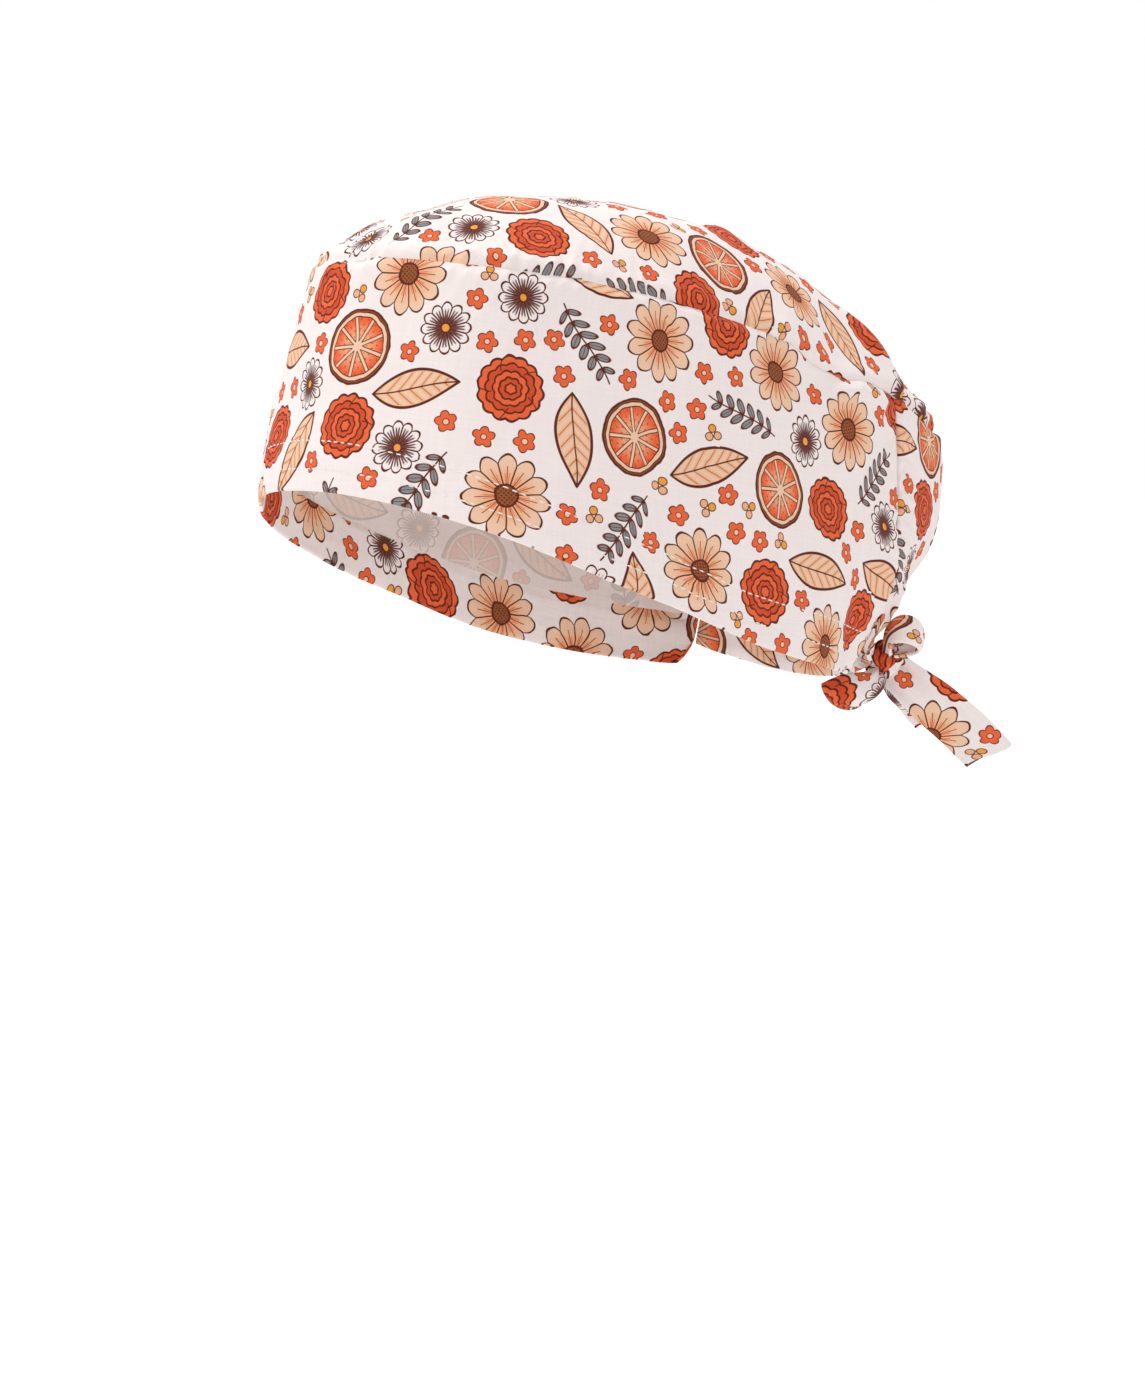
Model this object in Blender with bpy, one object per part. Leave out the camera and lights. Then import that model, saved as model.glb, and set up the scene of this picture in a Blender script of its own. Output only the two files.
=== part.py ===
"""A tie-back scrub cap in its worn form: side band, oval crown, puffed back panel, and ties in a bow.

Units are metres, +Z is up, the front of the cap faces -Y and the wearer's left is +X.
The origin is the middle of the head opening: the widest place of the brim, at the height of its sides.
"""

import math
from collections import namedtuple

import bmesh
import bpy
import numpy as np

# Cloth: thickness of one panel, of the turned hem and of a folded tie, and the space that sewn pieces keep
WALL = 0.0012
HEM_WALL = 0.0018
TIE_WALL = 0.0022
SEAM_GAP = 0.0003

# Brim, the lower edge of the band: its reach to the front, the back and each side, and the height of its ends
BRIM_FRONT = 0.0950
BRIM_BACK = 0.1050
BRIM_SIDE = 0.0820
BRIM_FRONT_HEIGHT = 0.0410
BRIM_BACK_HEIGHT = -0.0240
HEM_HEIGHT = 0.0170

# Crown seam, where the oval top meets the band: its reach and its height at the front, the sides and the
# back; and the crown's rise above it at the front and the back
CROWN_FRONT = 0.0790
CROWN_BACK = 0.1575
CROWN_SIDE = 0.0640
SEAM_FRONT_HEIGHT = 0.1150
SEAM_SIDE_HEIGHT = 0.1030
SEAM_BACK_HEIGHT = 0.0555
CROWN_RISE = 0.0345
CROWN_BACK_RISE = 0.0420

# Fullness of the walls: how far the band swells at its front and at its ends, and the back panel beyond it
BAND_BULGE = 0.0010
BAND_END_BULGE = 0.0090
POUCH_BULGE = 0.0130
FOLD_DEPTH = 0.0030

# Ends of the band, in degrees round the head from the front, at the crown seam and at the tip of the brim
BAND_END_TOP = 135.0
BAND_END_TIP = 150.0
TIP_ROUNDING = 2.5

# Nape: how far the cloth stands behind the brim there, and the height of the back panel's lower edge
NAPE_REACH = 0.0095
NAPE_HEIGHT = -0.0125

# Ties: the folded strip, its gathered stretch at the nape and that one's sag at the knot, the knot, the bow
TIE_WIDTH = 0.0170
LEAD_WIDTH = 0.0150
LEAD_SAG = 0.0045
KNOT_RADIUS = 0.0052
LOOP_LENGTH = 0.0130
LOOP_OPENING = 0.0095
LEFT_TAIL_LENGTH = 0.0440
RIGHT_TAIL_LENGTH = 0.0480
TAIL_SLANT = 0.0090

# Squareness of the oval outlines and of the crown's profile, where 2 is an ellipse
BRIM_SHAPE = 2.4
CROWN_SHAPE = 2.1
DOME_SHAPE_FRONT = 2.7
DOME_SHAPE_BACK = 3.5

# Shares of the walls: the free foot of the band's rear edge, how sharply the band's swelling keeps to its
# ends, how low a wall's fullness hangs and how evenly the back panel's spreads across it
PANEL_FOOT = 0.20
END_SHARPNESS = 6
BLOUSE_HANG = 0.85
POUCH_EVENNESS = 0.6

# Shares of the nape, from the wearer's left: the knot's place, and how far the ties narrow and turn upright
KNOT_PLACE = 0.15
PINCH_REACH = 0.16
LEAD_TURN = 0.13

# Shares of the ties: how much the leads narrow at the knot, the padding of the folded cloth over its middle,
# the widths of the bow's loops and tails, how soon a tail opens, how far it bends, and its twist in degrees
LEAD_PINCH = 0.50
TIE_SWELL = 0.25
LOOP_ROOT_WIDTH = 0.40
LOOP_END_WIDTH = 0.68
TAIL_ROOT_WIDTH = 0.55
TAIL_OPENING = 2.2
TAIL_BEND = 0.05
TAIL_TWIST = 25.0

# Margins over which folds fade out at the edges of a panel, as shares of it, and the crown's share of depth
BAND_MARGIN = 0.03
PANEL_MARGIN = 0.10
TOP_MARGIN = 0.10
CROWN_MARGIN = 0.05
CROWN_FOLD_SHARE = 0.7

# Fineness of the faceted pieces: places across and up each panel, or along each tie
BAND_GRID = (81, 11)
PANEL_GRID = (33, 12)
CROWN_GRID = (72, 9)
KNOT_GRID = (14, 9)
LEFT_LEAD_PLACES = 6
RIGHT_LEAD_PLACES = 20
LOOP_PLACES = 22
TAIL_PLACES = 12
RIM_ANGLE = 50.0

# Folds and dents. Places and sizes are shares of the panel: across it (round it, for the crown) and up it
# (inwards from the seam, for the crown); lean is how far across the fold drifts over the panel's height;
# depth is a share of FOLD_DEPTH, outwards where positive.
Fold = namedtuple("Fold", "across up width height lean depth")
BAND_FOLDS = (
    Fold(0.955, 0.20, 0.016, 0.16, -0.10, -0.55),
    Fold(0.925, 0.30, 0.018, 0.20, -0.12, 0.50),
    Fold(0.930, 0.80, 0.020, 0.10, 0.06, -0.70),
    Fold(0.880, 0.62, 0.030, 0.16, 0.10, 0.40),
    Fold(0.740, 0.85, 0.020, 0.09, 0.00, -0.30),
    Fold(0.620, 0.60, 0.030, 0.24, 0.03, 0.25),
    Fold(0.500, 0.40, 0.030, 0.22, 0.00, -0.25),
    Fold(0.360, 0.70, 0.025, 0.18, -0.04, 0.30),
    Fold(0.210, 0.80, 0.022, 0.10, 0.00, -0.40),
    Fold(0.085, 0.30, 0.020, 0.20, 0.12, 0.50),
    Fold(0.045, 0.22, 0.016, 0.16, 0.10, -0.55),
    Fold(0.070, 0.78, 0.020, 0.10, -0.06, -0.60),
)
PANEL_FOLDS = (
    Fold(0.17, 0.30, 0.050, 0.13, 0.12, -0.90),
    Fold(0.30, 0.42, 0.060, 0.18, 0.10, 0.45),
    Fold(0.40, 0.20, 0.045, 0.15, 0.05, -0.60),
    Fold(0.62, 0.24, 0.045, 0.16, -0.05, -0.65),
    Fold(0.73, 0.46, 0.060, 0.18, -0.10, 0.45),
    Fold(0.85, 0.30, 0.050, 0.13, -0.12, -0.80),
    Fold(0.50, 0.84, 0.070, 0.09, 0.00, -0.40),
)
CROWN_FOLDS = (
    Fold(0.345, 0.14, 0.014, 0.10, 0.02, -0.75),
    Fold(0.318, 0.20, 0.016, 0.14, 0.03, 0.50),
    Fold(0.395, 0.18, 0.018, 0.12, -0.02, 0.55),
    Fold(0.430, 0.10, 0.014, 0.08, 0.00, -0.60),
    Fold(0.565, 0.12, 0.018, 0.10, 0.00, -0.60),
    Fold(0.650, 0.18, 0.020, 0.14, -0.03, 0.45),
    Fold(0.800, 0.12, 0.022, 0.10, 0.00, -0.35),
    Fold(0.095, 0.12, 0.016, 0.09, 0.00, -0.40),
    Fold(0.925, 0.13, 0.018, 0.10, 0.00, -0.40),
)
GATHERS = 9
GATHER_REACH = 0.22
GATHER_DEPTH = 0.35

Finish = namedtuple("Finish", "colour roughness")
COTTON = Finish((0.92, 0.86, 0.84, 1.0), 0.85)
TIE_COTTON = Finish((0.90, 0.80, 0.76, 1.0), 0.85)


def unit(vector):
    """Scales a vector to length one."""
    return vector / np.linalg.norm(vector)


def smooth(share):
    """Gives an even ease from 0 to 1."""
    share = min(max(share, 0.0), 1.0)
    return share * share * (3 - 2 * share)


def oval(angle, front, back, side, squareness):
    """Gives x and y on an oval outline at an angle from its front, towards the wearer's left."""
    s, c = math.sin(angle), math.cos(angle)
    power = 2 / squareness
    reach = front if c > 0 else back
    x = math.copysign(side * abs(s) ** power, s)
    y = -math.copysign(reach * abs(c) ** power, c)
    return x, y


def slope_height(y, front, back, heights):
    """Gives the height at y on a parabola through the front, side and back heights of an outline."""
    front_height, side_height, back_height = heights
    at_front = y * (y - back) / (front * (front + back))
    at_side = -(y + front) * (y - back) / (front * back)
    at_back = y * (y + front) / (back * (front + back))
    return front_height * at_front + side_height * at_side + back_height * at_back


def brim_point(angle):
    """Gives a point on the lower edge of the band."""
    x, y = oval(angle, BRIM_FRONT, BRIM_BACK, BRIM_SIDE, BRIM_SHAPE)
    heights = (BRIM_FRONT_HEIGHT, 0.0, BRIM_BACK_HEIGHT)
    return np.array([x, y, slope_height(y, BRIM_FRONT, BRIM_BACK, heights)])


def seam_height(y):
    """Gives the height of the crown seam's sloping plane at y."""
    heights = (SEAM_FRONT_HEIGHT, SEAM_SIDE_HEIGHT, SEAM_BACK_HEIGHT)
    return slope_height(y, CROWN_FRONT, CROWN_BACK, heights)


def seam_point(angle):
    """Gives a point on the seam between the crown and the walls."""
    x, y = oval(angle, CROWN_FRONT, CROWN_BACK, CROWN_SIDE, CROWN_SHAPE)
    return np.array([x, y, seam_height(y)])


def blousing(share):
    """Gives the fullness of a wall at a share of its height: none at its edges, most near its foot."""
    return math.sin(math.pi * min(max(share, 0.0), 1.0) ** BLOUSE_HANG)


def through(left, middle, right, share):
    """Gives a point, and the run of the curve there, on the plain arc through three points."""
    pull = 2 * middle - (left + right) / 2
    point = (1 - share) ** 2 * left + 2 * share * (1 - share) * pull + share ** 2 * right
    run = (1 - share) * (pull - left) + share * (right - pull)
    return point, unit(run)


def fold_height(folds, across, up):
    """Gives how far the folds of a table stand out of a panel at a place on it, in metres."""
    total = 0.0
    for fold in folds:
        drift = (across - fold.across - fold.lean * (up - fold.up)) / fold.width
        rise = (up - fold.up) / fold.height
        total += fold.depth * math.exp(-0.5 * (drift * drift + rise * rise))
    return total * FOLD_DEPTH


def within(share, margin):
    """Gives 1 inside a panel and eases to 0 at both of its edges, over a margin."""
    return smooth(share / margin) * smooth((1 - share) / margin)


def straight_band(turn, up):
    """Gives a point of the band without its fullness: turn runs from -1 at its right end to 1 at its left."""
    rounding = TIP_ROUNDING * max(0.0, 1 - 2 * up / PANEL_FOOT) ** 2
    tip, top = math.radians(BAND_END_TIP - rounding), math.radians(BAND_END_TOP)
    return brim_point(turn * tip) * (1 - up) + seam_point(turn * top) * up


def band_surface(across, up):
    """Gives a point of the band's outer side: across runs from its right end to its left one."""
    turn = 2 * across - 1
    step = 1 / BAND_GRID[0]
    along = straight_band(turn + step, up) - straight_band(turn - step, up)
    outward = unit(np.array([along[1], -along[0], 0.0]))
    end = abs(turn) ** END_SHARPNESS
    swell = BAND_BULGE * math.sin(math.pi * up) * (1 - end) + BAND_END_BULGE * blousing(up) * end
    inside = within(across, BAND_MARGIN) * smooth((1 - up) / TOP_MARGIN)
    return straight_band(turn, up) + outward * (swell + fold_height(BAND_FOLDS, across, up) * inside)


def band_edge(side, share):
    """Gives a point on the rear edge of the band: side is 1 at the wearer's left and -1 at the right."""
    return band_surface((1 + side) / 2, share)


def edge_way(side):
    """Gives the way up along the free foot of the band's rear edge, where its tie starts."""
    return unit(band_edge(side, PANEL_FOOT) - band_edge(side, PANEL_FOOT / 2))


def edge_outward(side):
    """Gives the outward way of the band at the free foot of its rear edge."""
    turn = 1 - 1 / BAND_GRID[0]
    along = side * (straight_band(side, PANEL_FOOT) - straight_band(side * turn, PANEL_FOOT))
    return unit(np.array([along[1], -along[0], 0.0]))


def panel_foot(across):
    """Gives a point, and the outward way there, on the back panel's lower edge from its left to its right."""
    middle = np.array([0.0, BRIM_BACK + NAPE_REACH, NAPE_HEIGHT])
    point, run = through(band_edge(1, PANEL_FOOT), middle, band_edge(-1, PANEL_FOOT), across)
    return point, unit(np.array([run[1], -run[0], 0.0]))


def panel_surface(across, up):
    """Gives a point of the back panel's outer side: across runs from its left edge to its right one."""
    top_angle = math.radians(BAND_END_TOP + (360 - 2 * BAND_END_TOP) * across)
    edge_share = PANEL_FOOT + (1 - PANEL_FOOT) * up
    left, right = band_edge(1, edge_share), band_edge(-1, edge_share)
    left_foot, right_foot = band_edge(1, PANEL_FOOT), band_edge(-1, PANEL_FOOT)
    left_top, right_top = band_edge(1, 1.0), band_edge(-1, 1.0)
    foot, outward = panel_foot(across)
    top = seam_point(top_angle)
    left_bow = left - left_foot * (1 - up) - left_top * up
    right_bow = right - right_foot * (1 - up) - right_top * up
    inside = within(across, PANEL_MARGIN) * smooth((1 - up) / TOP_MARGIN)
    gather = GATHER_DEPTH * math.cos(math.tau * GATHERS * across) * math.exp(-up / GATHER_REACH)
    swell = POUCH_BULGE * blousing(up) * math.sin(math.pi * across) ** POUCH_EVENNESS
    swell += (fold_height(PANEL_FOLDS, across, up) + FOLD_DEPTH * gather) * inside
    return foot * (1 - up) + top * up + left_bow * (1 - across) + right_bow * across + outward * swell


def crown_surface(angle, reach):
    """Gives a point of the crown's outer side: reach is 1 at the seam and 0 at the middle of the oval."""
    middle = np.array([0.0, (CROWN_BACK - CROWN_FRONT) / 2, 0.0])
    edge = seam_point(angle)
    inward = 1 - reach
    x, y, _ = middle + (edge - middle) * reach
    lean = smooth((y + CROWN_FRONT) / (CROWN_FRONT + CROWN_BACK))
    fullness = DOME_SHAPE_FRONT + (DOME_SHAPE_BACK - DOME_SHAPE_FRONT) * lean
    rise = (CROWN_RISE + (CROWN_BACK_RISE - CROWN_RISE) * lean) * (1 - reach ** fullness)
    around = angle / math.tau % 1.0
    fold = fold_height(CROWN_FOLDS, around, inward) * smooth(inward / CROWN_MARGIN) * CROWN_FOLD_SHARE
    outward = unit(edge - middle) * np.array([1.0, 1.0, 0.0])
    return np.array([x, y, seam_height(y) + SEAM_GAP + rise + fold]) + outward * fold * reach


def add_object(name, bm, finish):
    """Makes a scene object of a bmesh, shaded smooth except at its rims, with a material of its own."""
    mesh = bpy.data.meshes.new(name)
    bm.to_mesh(mesh)
    bm.free()
    mesh.shade_smooth()
    mesh.set_sharp_from_angle(angle=math.radians(RIM_ANGLE))
    obj = bpy.data.objects.new(name, mesh)
    bpy.context.scene.collection.objects.link(obj)
    material = bpy.data.materials.new(name + "_cotton")
    material.use_nodes = True
    shader = material.node_tree.nodes["Principled BSDF"]
    shader.inputs["Base Color"].default_value = finish.colour
    shader.inputs["Roughness"].default_value = finish.roughness
    shader.inputs["Metallic"].default_value = 0.0
    mesh.materials.append(material)
    return obj


def grid_normals(grid, closed):
    """Gives the outward normals of a grid of points, whose first axis runs round and second one up."""
    if closed:
        along = np.roll(grid, -1, axis=0) - np.roll(grid, 1, axis=0)
    else:
        along = np.gradient(grid, axis=0)
    up = np.gradient(grid, axis=1)
    normals = np.cross(along, up)
    return normals / np.linalg.norm(normals, axis=2, keepdims=True)


def level_rows(normals, rows):
    """Lays the normals of some rows level, so that sewn edges meet square to each other."""
    for row in rows:
        normals[:, row, 2] = 0.0
        normals[:, row] /= np.linalg.norm(normals[:, row], axis=1, keepdims=True)


def sheet_shell(name, outer, inner, finish):
    """Builds the closed shell between the outer and the inner grid of an open panel."""
    bm = bmesh.new()
    outer_verts = [[bm.verts.new(p) for p in column] for column in outer]
    inner_verts = [[bm.verts.new(p) for p in column] for column in inner]
    columns, rows = len(outer), len(outer[0])
    for i in range(columns - 1):
        for j in range(rows - 1):
            corners = ((i, j), (i + 1, j), (i + 1, j + 1), (i, j + 1))
            bm.faces.new([outer_verts[a][b] for a, b in corners])
            bm.faces.new([inner_verts[a][b] for a, b in reversed(corners)])
    foot = [(i, 0) for i in range(columns)]
    end = [(columns - 1, j) for j in range(1, rows)]
    top = [(i, rows - 1) for i in range(columns - 2, -1, -1)]
    start = [(0, j) for j in range(rows - 2, 0, -1)]
    rim = foot + end + top + start
    for (a, b), (c, d) in zip(rim, rim[1:] + rim[:1]):
        bm.faces.new([outer_verts[c][d], outer_verts[a][b], inner_verts[a][b], inner_verts[c][d]])
    return add_object(name, bm, finish)


def build_side_band():
    """Builds the band round the front and the sides, thicker at the turned hem along its brim."""
    columns, rows = BAND_GRID
    clear = SEAM_GAP / (BRIM_FRONT + BRIM_BACK) / 3
    shares = np.linspace(0, 1, rows)
    outer = np.array([[band_surface(u, v) for v in shares] for u in np.linspace(clear, 1 - clear, columns)])
    normals = grid_normals(outer, closed=False)
    level_rows(normals, (rows - 1,))
    height = np.linalg.norm(outer - outer[:, :1], axis=2)
    thickness = np.where(height < HEM_HEIGHT, HEM_WALL, WALL)[..., None]
    return sheet_shell("side_band", outer, outer - normals * thickness, COTTON)


def build_back_panel():
    """Builds the panel that closes the back, puffed out over the nape."""
    columns, rows = PANEL_GRID
    clear = SEAM_GAP / CROWN_SIDE / 3
    shares = np.linspace(0, 1, rows)
    outer = np.array([[panel_surface(u, v) for v in shares] for u in np.linspace(clear, 1 - clear, columns)])
    normals = grid_normals(outer, closed=False)
    level_rows(normals, (rows - 1,))
    return sheet_shell("back_panel", outer, outer - normals * WALL, COTTON)


def build_crown():
    """Builds the domed oval top."""
    sectors, rings = CROWN_GRID
    angles = [math.tau * i / sectors for i in range(sectors)]
    reaches = np.linspace(1, 0, rings + 1)[:-1]
    outer = np.array([[crown_surface(a, r) for r in reaches] for a in angles])
    normals = grid_normals(outer, closed=True)
    level_rows(normals, (0,))
    inner = outer - normals * WALL
    bm = bmesh.new()
    outer_verts = [[bm.verts.new(p) for p in column] for column in outer]
    inner_verts = [[bm.verts.new(p) for p in column] for column in inner]
    peak = crown_surface(0.0, 0.0)
    top, underside = bm.verts.new(peak), bm.verts.new(peak - np.array([0.0, 0.0, WALL]))
    for i in range(sectors):
        k = (i + 1) % sectors
        for j in range(rings - 1):
            corners = ((i, j), (k, j), (k, j + 1), (i, j + 1))
            bm.faces.new([outer_verts[a][b] for a, b in corners])
            bm.faces.new([inner_verts[a][b] for a, b in reversed(corners)])
        bm.faces.new([outer_verts[i][-1], outer_verts[k][-1], top])
        bm.faces.new([inner_verts[k][-1], inner_verts[i][-1], underside])
        bm.faces.new([outer_verts[k][0], outer_verts[i][0], inner_verts[i][0], inner_verts[k][0]])
    return add_object("crown", bm, COTTON)


def tie_section(centre, way, face, width, lean=0.0):
    """Gives the six corners of a folded tie's section: way runs along its width and face along its thickness.

    lean is the way and the length by which the upper corners run ahead of the lower ones.
    """
    corners = []
    for place, side in ((-1, -1), (0, -1), (1, -1), (1, 1), (0, 1), (-1, 1)):
        thickness = TIE_WALL * (1 / 2 + TIE_SWELL * (1 - abs(place)))
        corners.append(centre + way * place * width / 2 + lean * place / 2 + face * side * thickness)
    return corners


def square_sections(centres, ways, widths):
    """Gives the sections of a tie along centre points, square to its run: ways holds the way of its width."""
    runs = np.gradient(np.array(centres), axis=0)
    sections = []
    for centre, run, way, width in zip(centres, runs, ways, widths):
        run = unit(run)
        way = unit(way - run * float(np.dot(way, run)))
        sections.append(tie_section(centre, way, np.cross(run, way), width))
    return np.array(sections)


def tie_strip(name, sections):
    """Builds the closed strip through a tie's sections."""
    bm = bmesh.new()
    rings = [[bm.verts.new(corner) for corner in section] for section in sections]
    for first, second in zip(rings, rings[1:]):
        for a in range(len(first)):
            b = (a + 1) % len(first)
            bm.faces.new([first[a], first[b], second[b], second[a]])
    bm.faces.new(rings[0][::-1])
    bm.faces.new(rings[-1])
    bmesh.ops.recalc_face_normals(bm, faces=bm.faces)
    return add_object(name, bm, TIE_COTTON)


def lead_line(place):
    """Gives the ties' centre, way of the width, outward way and width at a place along the nape."""
    side = 1 if place <= KNOT_PLACE else -1
    start = 0.0 if side > 0 else 1.0
    foot, outward = panel_foot(place)
    ease = smooth(abs(place - start) / LEAD_TURN)
    way = unit(edge_way(side) * (1 - ease) + np.array([0.0, 0.0, ease]))
    outward = unit(edge_outward(side) * (1 - ease) + outward * ease)
    near = smooth(1 - abs(place - KNOT_PLACE) / PINCH_REACH)
    width = LEAD_WIDTH * (1 - LEAD_PINCH * near)
    return foot - way * (SEAM_GAP + width / 2 + LEAD_SAG * near), way, outward, width


def build_lead(name, side, places):
    """Builds the stretch of one tie from its end of the band to the knot: side is 1 at the wearer's left."""
    nape = float(np.linalg.norm(band_edge(1, PANEL_FOOT) - band_edge(-1, PANEL_FOOT)))
    clear = 1.5 * SEAM_GAP / nape
    first = 0.0 if side > 0 else 1.0
    shares = np.linspace(first + side * clear, KNOT_PLACE - side * clear, places)
    sections = []
    for place in shares:
        centre, way, outward, width = lead_line(place)
        sections.append(tie_section(centre, way, outward, width))
    return tie_strip(name, sections)


def knot_frame():
    """Gives the knot's centre and its own axes: out from the nape, up, and along the nape to the left."""
    point, _, out, _ = lead_line(KNOT_PLACE)
    standoff = TIE_WALL * (1 / 2 + TIE_SWELL) + SEAM_GAP + KNOT_RADIUS
    up = np.array([0.0, 0.0, 1.0])
    return point + out * standoff, out, up, np.cross(out, up)


def build_knot():
    """Builds the knot that both ties run into."""
    centre, out, up, along = knot_frame()
    bm = bmesh.new()
    bmesh.ops.create_uvsphere(bm, u_segments=KNOT_GRID[0], v_segments=KNOT_GRID[1], radius=KNOT_RADIUS)
    for vert in bm.verts:
        x, y, z = vert.co
        vert.co = centre + along * x + out * y + up * z
    bmesh.ops.recalc_face_normals(bm, faces=bm.faces)
    return add_object("tie_knot", bm, TIE_COTTON)


def seat_on_knot(sections, way):
    """Moves the sections of a piece of the bow along its way until it is a seam gap clear of the knot."""
    centre, _, _, _ = knot_frame()
    reach = KNOT_RADIUS + SEAM_GAP
    shifts = []
    for corner in sections.reshape(-1, 3):
        ahead = float(np.dot(corner - centre, way))
        room = reach * reach - float(np.dot(corner - centre, corner - centre)) + ahead * ahead
        if room > 0:
            shifts.append(math.sqrt(room) - ahead)
    return sections + way * max(shifts)


def build_loop(name, way, opening, curl):
    """Builds a loop of the bow: it leaves the knot along way, opens along opening and droops by curl."""
    centre, out, up, along = knot_frame()
    frame = np.array([out, up, along])
    way = unit(np.array(way) @ frame)
    opening = np.array(opening) @ frame
    opening = unit(opening - way * float(np.dot(opening, way)))
    curl = np.array(curl) @ frame
    centres, widths = [], []
    for turn in np.linspace(0, math.tau, LOOP_PLACES):
        reach = (1 - math.cos(turn)) / 2
        aside = (TIE_WALL + SEAM_GAP) / 2 * math.cos(turn / 2)
        aside += LOOP_OPENING / 2 * math.sin(turn) * math.sin(turn / 2)
        centres.append(centre + (way + curl * reach) * LOOP_LENGTH * reach + opening * aside)
        widths.append(TIE_WIDTH * (LOOP_ROOT_WIDTH + (LOOP_END_WIDTH - LOOP_ROOT_WIDTH) * reach))
    sections = square_sections(centres, [np.cross(way, opening)] * LOOP_PLACES, widths)
    return tie_strip(name, seat_on_knot(sections, way))


def build_tail(name, way, width_way, length):
    """Builds one free end of the bow: it leaves the knot along way, with its width along width_way."""
    centre, out, up, along = knot_frame()
    frame = np.array([out, up, along])
    way = unit(np.array(way) @ frame)
    width_way = unit(np.array(width_way) @ frame)
    face = np.cross(way, width_way)
    centres, ways, widths = [], [], []
    for share in np.linspace(0, 1, TAIL_PLACES):
        bow = math.sin(math.pi * share)
        twist = math.radians(TAIL_TWIST) * bow
        centres.append(centre + way * length * share + face * TAIL_BEND * length * bow)
        ways.append(width_way * math.cos(twist) + face * math.sin(twist))
        widths.append(TIE_WIDTH * (TAIL_ROOT_WIDTH + (1 - TAIL_ROOT_WIDTH) * smooth(TAIL_OPENING * share)))
    sections = square_sections(centres, ways, widths)
    end_run = unit(centres[-1] - centres[-2])
    end_way = unit(ways[-1] - end_run * float(np.dot(ways[-1], end_run)))
    end_face = np.cross(end_run, end_way)
    sections[-1] = tie_section(centres[-1], end_way, end_face, widths[-1], end_run * TAIL_SLANT)
    return tie_strip(name, seat_on_knot(sections, way))


def main():
    """Clears the scene and builds every piece of the cap."""
    for old in list(bpy.data.objects):
        bpy.data.objects.remove(old, do_unlink=True)
    build_side_band()
    build_crown()
    build_back_panel()
    build_lead("left_tie_lead", 1, LEFT_LEAD_PLACES)
    build_lead("right_tie_lead", -1, RIGHT_LEAD_PLACES)
    build_knot()
    build_loop("upper_bow_loop", (0.34, 0.56, 0.75), (-0.77, 0.64, 0.0), (0.0, 0.0, 0.0))
    build_loop("lower_bow_loop", (-0.45, -0.90, 0.40), (0.0, 0.0, 1.0), (-0.7, 0.2, 0.0))
    build_tail("left_tie_tail", (0.74, -0.67, 0.05), (0.65, 0.76, 0.0), LEFT_TAIL_LENGTH)
    build_tail("right_tie_tail", (0.62, -0.62, -0.50), (0.65, 0.76, 0.0), RIGHT_TAIL_LENGTH)


main()
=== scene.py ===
"""Dresses the scrub cap: printed cotton panels with their folds, a stitched hem and ties in a bow.

Units are metres, +Z is up, the front of the cap faces -Y and the wearer's left is +X.
"""

import logging
import math
import random
from dataclasses import dataclass
from enum import Enum

import bpy
import numpy as np
from bpy.types import ID, Material, Mesh, NodeSocket, NodeTree, Object
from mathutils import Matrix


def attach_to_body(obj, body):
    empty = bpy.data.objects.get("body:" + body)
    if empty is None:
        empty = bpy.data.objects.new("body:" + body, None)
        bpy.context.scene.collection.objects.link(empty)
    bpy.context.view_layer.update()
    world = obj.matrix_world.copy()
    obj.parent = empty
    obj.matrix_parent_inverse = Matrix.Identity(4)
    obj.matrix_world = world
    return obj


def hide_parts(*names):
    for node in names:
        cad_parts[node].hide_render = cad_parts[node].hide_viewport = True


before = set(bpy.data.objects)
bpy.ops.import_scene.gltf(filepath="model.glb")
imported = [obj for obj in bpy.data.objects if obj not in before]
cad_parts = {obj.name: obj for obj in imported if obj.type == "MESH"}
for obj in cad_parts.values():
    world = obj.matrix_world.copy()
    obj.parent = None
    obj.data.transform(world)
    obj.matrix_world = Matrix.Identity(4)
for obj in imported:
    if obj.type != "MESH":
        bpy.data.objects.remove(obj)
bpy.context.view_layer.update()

LOG = logging.getLogger("scrub_cap")
MM = 0.001
BAKE_MAP = "OFBake"
CLOTH_MAP = "cloth"
UP = np.array([0.0, 0.0, 1.0])
ACROSS = -np.cos(np.pi * np.arange(17) / 16)
STITCH_ROWS = (0.0065, 0.0158)


class Side(Enum):
    """The side of the wearer that a tie starts on; its value is the sign of x."""

    LEFT = 1
    RIGHT = -1


class Motif(Enum):
    """A motif of the print: its number in the shader, its radius and its half length, both in mm."""

    BLOSSOM = (0, 14.0, 0.0)
    ROSETTE = (1, 11.0, 0.0)
    SLICE = (2, 12.5, 0.0)
    ASTER = (3, 8.4, 0.0)
    LEAF = (4, 6.0, 9.0)
    SPRIG = (5, 5.2, 10.0)
    FLORET = (6, 3.8, 0.0)
    BERRIES = (7, 3.4, 0.0)


def smooth(share: np.ndarray) -> np.ndarray:
    """Gives an even ease from 0 to 1."""
    share = np.clip(share, 0.0, 1.0)
    return share * share * (3 - 2 * share)


def unit(vectors: np.ndarray) -> np.ndarray:
    """Scales vectors to length one."""
    return vectors / np.linalg.norm(vectors, axis=-1, keepdims=True)


def dot(a: np.ndarray, b: np.ndarray) -> np.ndarray:
    """Gives the dot products of two arrays of vectors, kept as a last axis of one."""
    return (a * b).sum(axis=-1, keepdims=True)


def level_outward(along: np.ndarray) -> np.ndarray:
    """Gives the level ways that point out of a wall that runs along the given vectors."""
    return unit(np.stack([along[..., 1], -along[..., 0], np.zeros(along.shape[:-1])], axis=-1))


def bump(distance: np.ndarray, width: float) -> np.ndarray:
    """Gives a soft ridge of height 1 over a distance from its crest."""
    return np.exp(-((distance / width) ** 2))


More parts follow.
